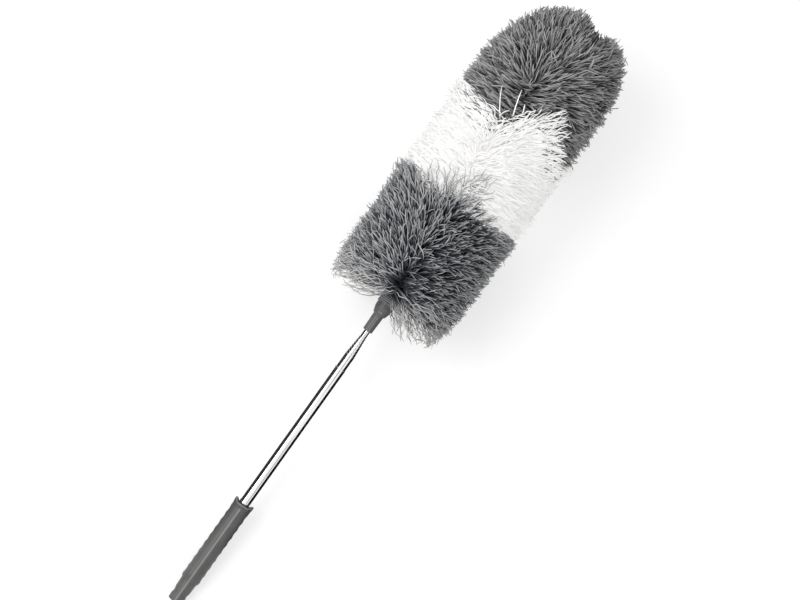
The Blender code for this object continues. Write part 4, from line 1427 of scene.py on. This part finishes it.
def add_lamp(name, target, offset, size, power):
    """Area lamp at an offset from the target, turned towards it."""
    lamp = bpy.data.lights.new(name, "AREA")
    lamp.shape = "RECTANGLE"
    lamp.size, lamp.size_y = size
    lamp.energy = power
    item = bpy.data.objects.new(name, lamp)
    bpy.context.scene.collection.objects.link(item)
    spot = Vector(target + offset)
    item.location = spot
    item.rotation_mode = "QUATERNION"
    item.rotation_quaternion = (spot - Vector(target)).to_track_quat("Z", "Y")
    item.visible_camera = False


def seen_directly(board):
    """One for rays from the camera, mirror rays and rays through glass, else nought."""
    path = board.tree.nodes.new("ShaderNodeLightPath")
    names = ("Is Camera Ray", "Is Glossy Ray", "Is Transmission Ray")
    camera, glossy, through = (Wire(board, path.outputs[name]) for name in names)
    return camera.maths("MINIMUM", camera + glossy + through, 1.0)


def stage_sheet(name, corners, material):
    """Flat sheet of the studio, which isn't part of the duster."""
    points = np.array(corners, dtype=float)
    mesh = mesh_of(name, points, np.arange(len(points))[None, :])
    mesh.materials.append(material)
    sheet = bpy.data.objects.new(name, mesh)
    bpy.context.scene.collection.objects.link(sheet)
    return sheet


FLOOR_REACH = 6.0
FLOOR_SHADE = 0.58
FLOOR_GLOW = 0.55


def add_floor():
    """Pale floor that keeps shadows and looks white to the camera and in the metal."""
    board = Board("pale_floor")
    glow = board.grey(seen_directly(board) * FLOOR_GLOW)
    board.principled(Base_Color=(FLOOR_SHADE, FLOOR_SHADE, FLOOR_SHADE, 1.0), Roughness=1.0)
    board.principled(Specular_IOR_Level=0.0, Emission_Color=glow, Emission_Strength=1.0)
    corners = np.array([(-1, -1, 0), (1, -1, 0), (1, 1, 0), (-1, 1, 0)]) * FLOOR_REACH
    stage_sheet("floor", corners, board.material)


def add_card(name, shade, corners):
    """Card beside the pole that only mirror rays meet. Corners are (height, aside, up)."""
    board = Board(name)
    board.principled(Base_Color=(0.0, 0.0, 0.0, 1.0), Specular_IOR_Level=0.0, Roughness=1.0)
    board.principled(Emission_Color=(shade, shade, shade, 1.0), Emission_Strength=1.0)
    points = [
        RIM_CENTRE + height * ALONG + aside * RIGHT + up * UPWARD for height, aside, up in corners
    ]
    card = stage_sheet(name, points, board.material)
    card.visible_camera = False
    card.visible_diffuse = False
    card.visible_shadow = False
    card.visible_transmission = False


def above_floor(height):
    """Distance from the pole's axis down to just above the floor, square to the pole."""
    return (RIM_CENTRE[2] + height * ALONG[2]) / UPWARD[2] - CARD_LIFT


CARD_LIFT = 0.001
CARD_RUN = (-0.060, 0.250, 2.300)
WALL_ASIDE = 0.100
# Shade, and (height, aside, up) of the corners
OVERHEAD_CARDS = {
    "upper_stripe": (0.38, [(0.07, 0.06, 0.44), (0.07, 0.20, 0.40), (0.30, 0.22, 0.39), (0.30, 0.02, 0.45)]),
    "lower_stripe": (0.50, [(-0.15, 0.24, 0.38), (-0.15, 0.36, 0.26), (0.00, 0.34, 0.28), (0.00, 0.20, 0.40)]),
}
# For each side: the reflected directions, in degrees from straight up, where the dark starts at
# the handle's end and at the head's end, and where it stops, and its shade
DARK_SIDES = {
    "left": (-1, 45.0, 31.0, 130.0, 0.030),
    "right": (1, 69.0, 64.0, 168.0, 0.008),
}


def add_cards():
    """Dark cards whose reflections draw the pole's edges, and grey ones overhead.

    On each side a card stands at a set distance and another lies before it on the floor. A
    convex mirror shows a direction at half its angle, so the standing card's height and the lying
    card's near edge are tangents of the directions where the dark starts and stops.
    """
    for name, (side, start_low, start_high, stop, shade) in DARK_SIDES.items():
        near = math.tan(math.pi - math.radians(stop))
        foot, top, inner = [], [], []
        for height, start in zip(CARD_RUN, (start_low, start_high, start_high)):
            down = -above_floor(height)
            foot.append((height, side * WALL_ASIDE, down))
            top.append((height, side * WALL_ASIDE, WALL_ASIDE / math.tan(math.radians(start))))
            inner.append((height, -side * down * near, down))
        add_card(name + "_wall", shade, foot + top[::-1])
        add_card(name + "_card", shade, foot + inner[::-1])
    for name, (shade, corners) in OVERHEAD_CARDS.items():
        add_card(name, shade, corners)


WORLD_LEVEL = 0.70


def add_world():
    """Even surroundings, which are white to the camera and in the metal."""
    world = bpy.data.worlds.new("surroundings")
    bpy.context.scene.world = world
    world.use_nodes = True
    board = Board.__new__(Board)
    board.tree = world.node_tree
    dim = board.node("ShaderNodeBackground", {}, {0: (1.0, 1.0, 1.0, 1.0), 1: WORLD_LEVEL})
    white = board.node("ShaderNodeBackground", {}, {0: (1.0, 1.0, 1.0, 1.0), 1: 1.0})
    sockets = {0: seen_directly(board), 1: dim, 2: white}
    mixed = board.node("ShaderNodeMixShader", {}, sockets)
    board.feed(world.node_tree.nodes["World Output"].inputs["Surface"], mixed)


def main():
    """Camera and studio first, then the pieces from the handle to the head."""
    bpy.context.scene.view_settings.view_transform = "Standard"
    target, right, up = add_camera()
    add_world()
    add_floor()
    add_lamp("key", target, 1.9 * UPWARD - 1.15 * right + 0.7 * up, (1.5, 1.5), 22.0)
    add_cards()

    grey_plastic = moulded_plastic(
        "satin_grey_plastic", PLASTIC_DARK, PLASTIC_COLOUR, PLASTIC_LIGHT, 0.42
    )
    inner_plastic = moulded_plastic(
        "dark_inner_plastic", (0.045,) * 3, (0.060,) * 3, (0.080,) * 3, 0.50
    )
    chrome = chromed_steel()
    brass = spring_brass()
    add_piece("grip_shell", grip_mesh(), grey_plastic, "handle", "grey_plastic", "grip")
    add_piece("end_cap_shell", end_cap_mesh(), grey_plastic, "handle", "grey_plastic", "end_cap")
    for number in range(1, TUBES + 1):
        body = "handle" if number == 1 else "section_%d" % number
        node = "tube_%d" % number
        add_piece(node + "_shell", tube_mesh(number), chrome, body, "chromed_steel", node)
        if number > 1:
            sleeve = "friction_sleeve_%d" % number
            mesh = sleeve_mesh(number)
            add_piece(sleeve + "_strip", mesh, brass, body, "spring_brass", sleeve)
    # Painted light: the same grey plastic painted lighter for the connector, to make up for the fluff's shade
    # on it
    plastic_painted_lighter = moulded_plastic(
        "grey_plastic_painted_lighter", (0.122,) * 3, (0.150,) * 3, (0.188,) * 3, 0.42
    )
    mesh = connector_mesh()
    add_piece("connector_shell", mesh, plastic_painted_lighter, "head", "grey_plastic", "connector")
    cuff = knit("cuff_knit", (0.085, 0.093, 0.110), (0.40, 0.42, 0.45))
    add_piece("neck_cuff_gather", cuff_mesh(), cuff, "head", "grey_fibre", "neck_cuff")
    for node in ("tube_seat", "base_plug", "tip_stud", "core_rod", "core_cap"):
        frame["nodes"][node].data.materials.clear()
        frame["nodes"][node].data.materials.append(inner_plastic)
    for node, band in BANDS.items():
        add_fluff(node, band)


main()
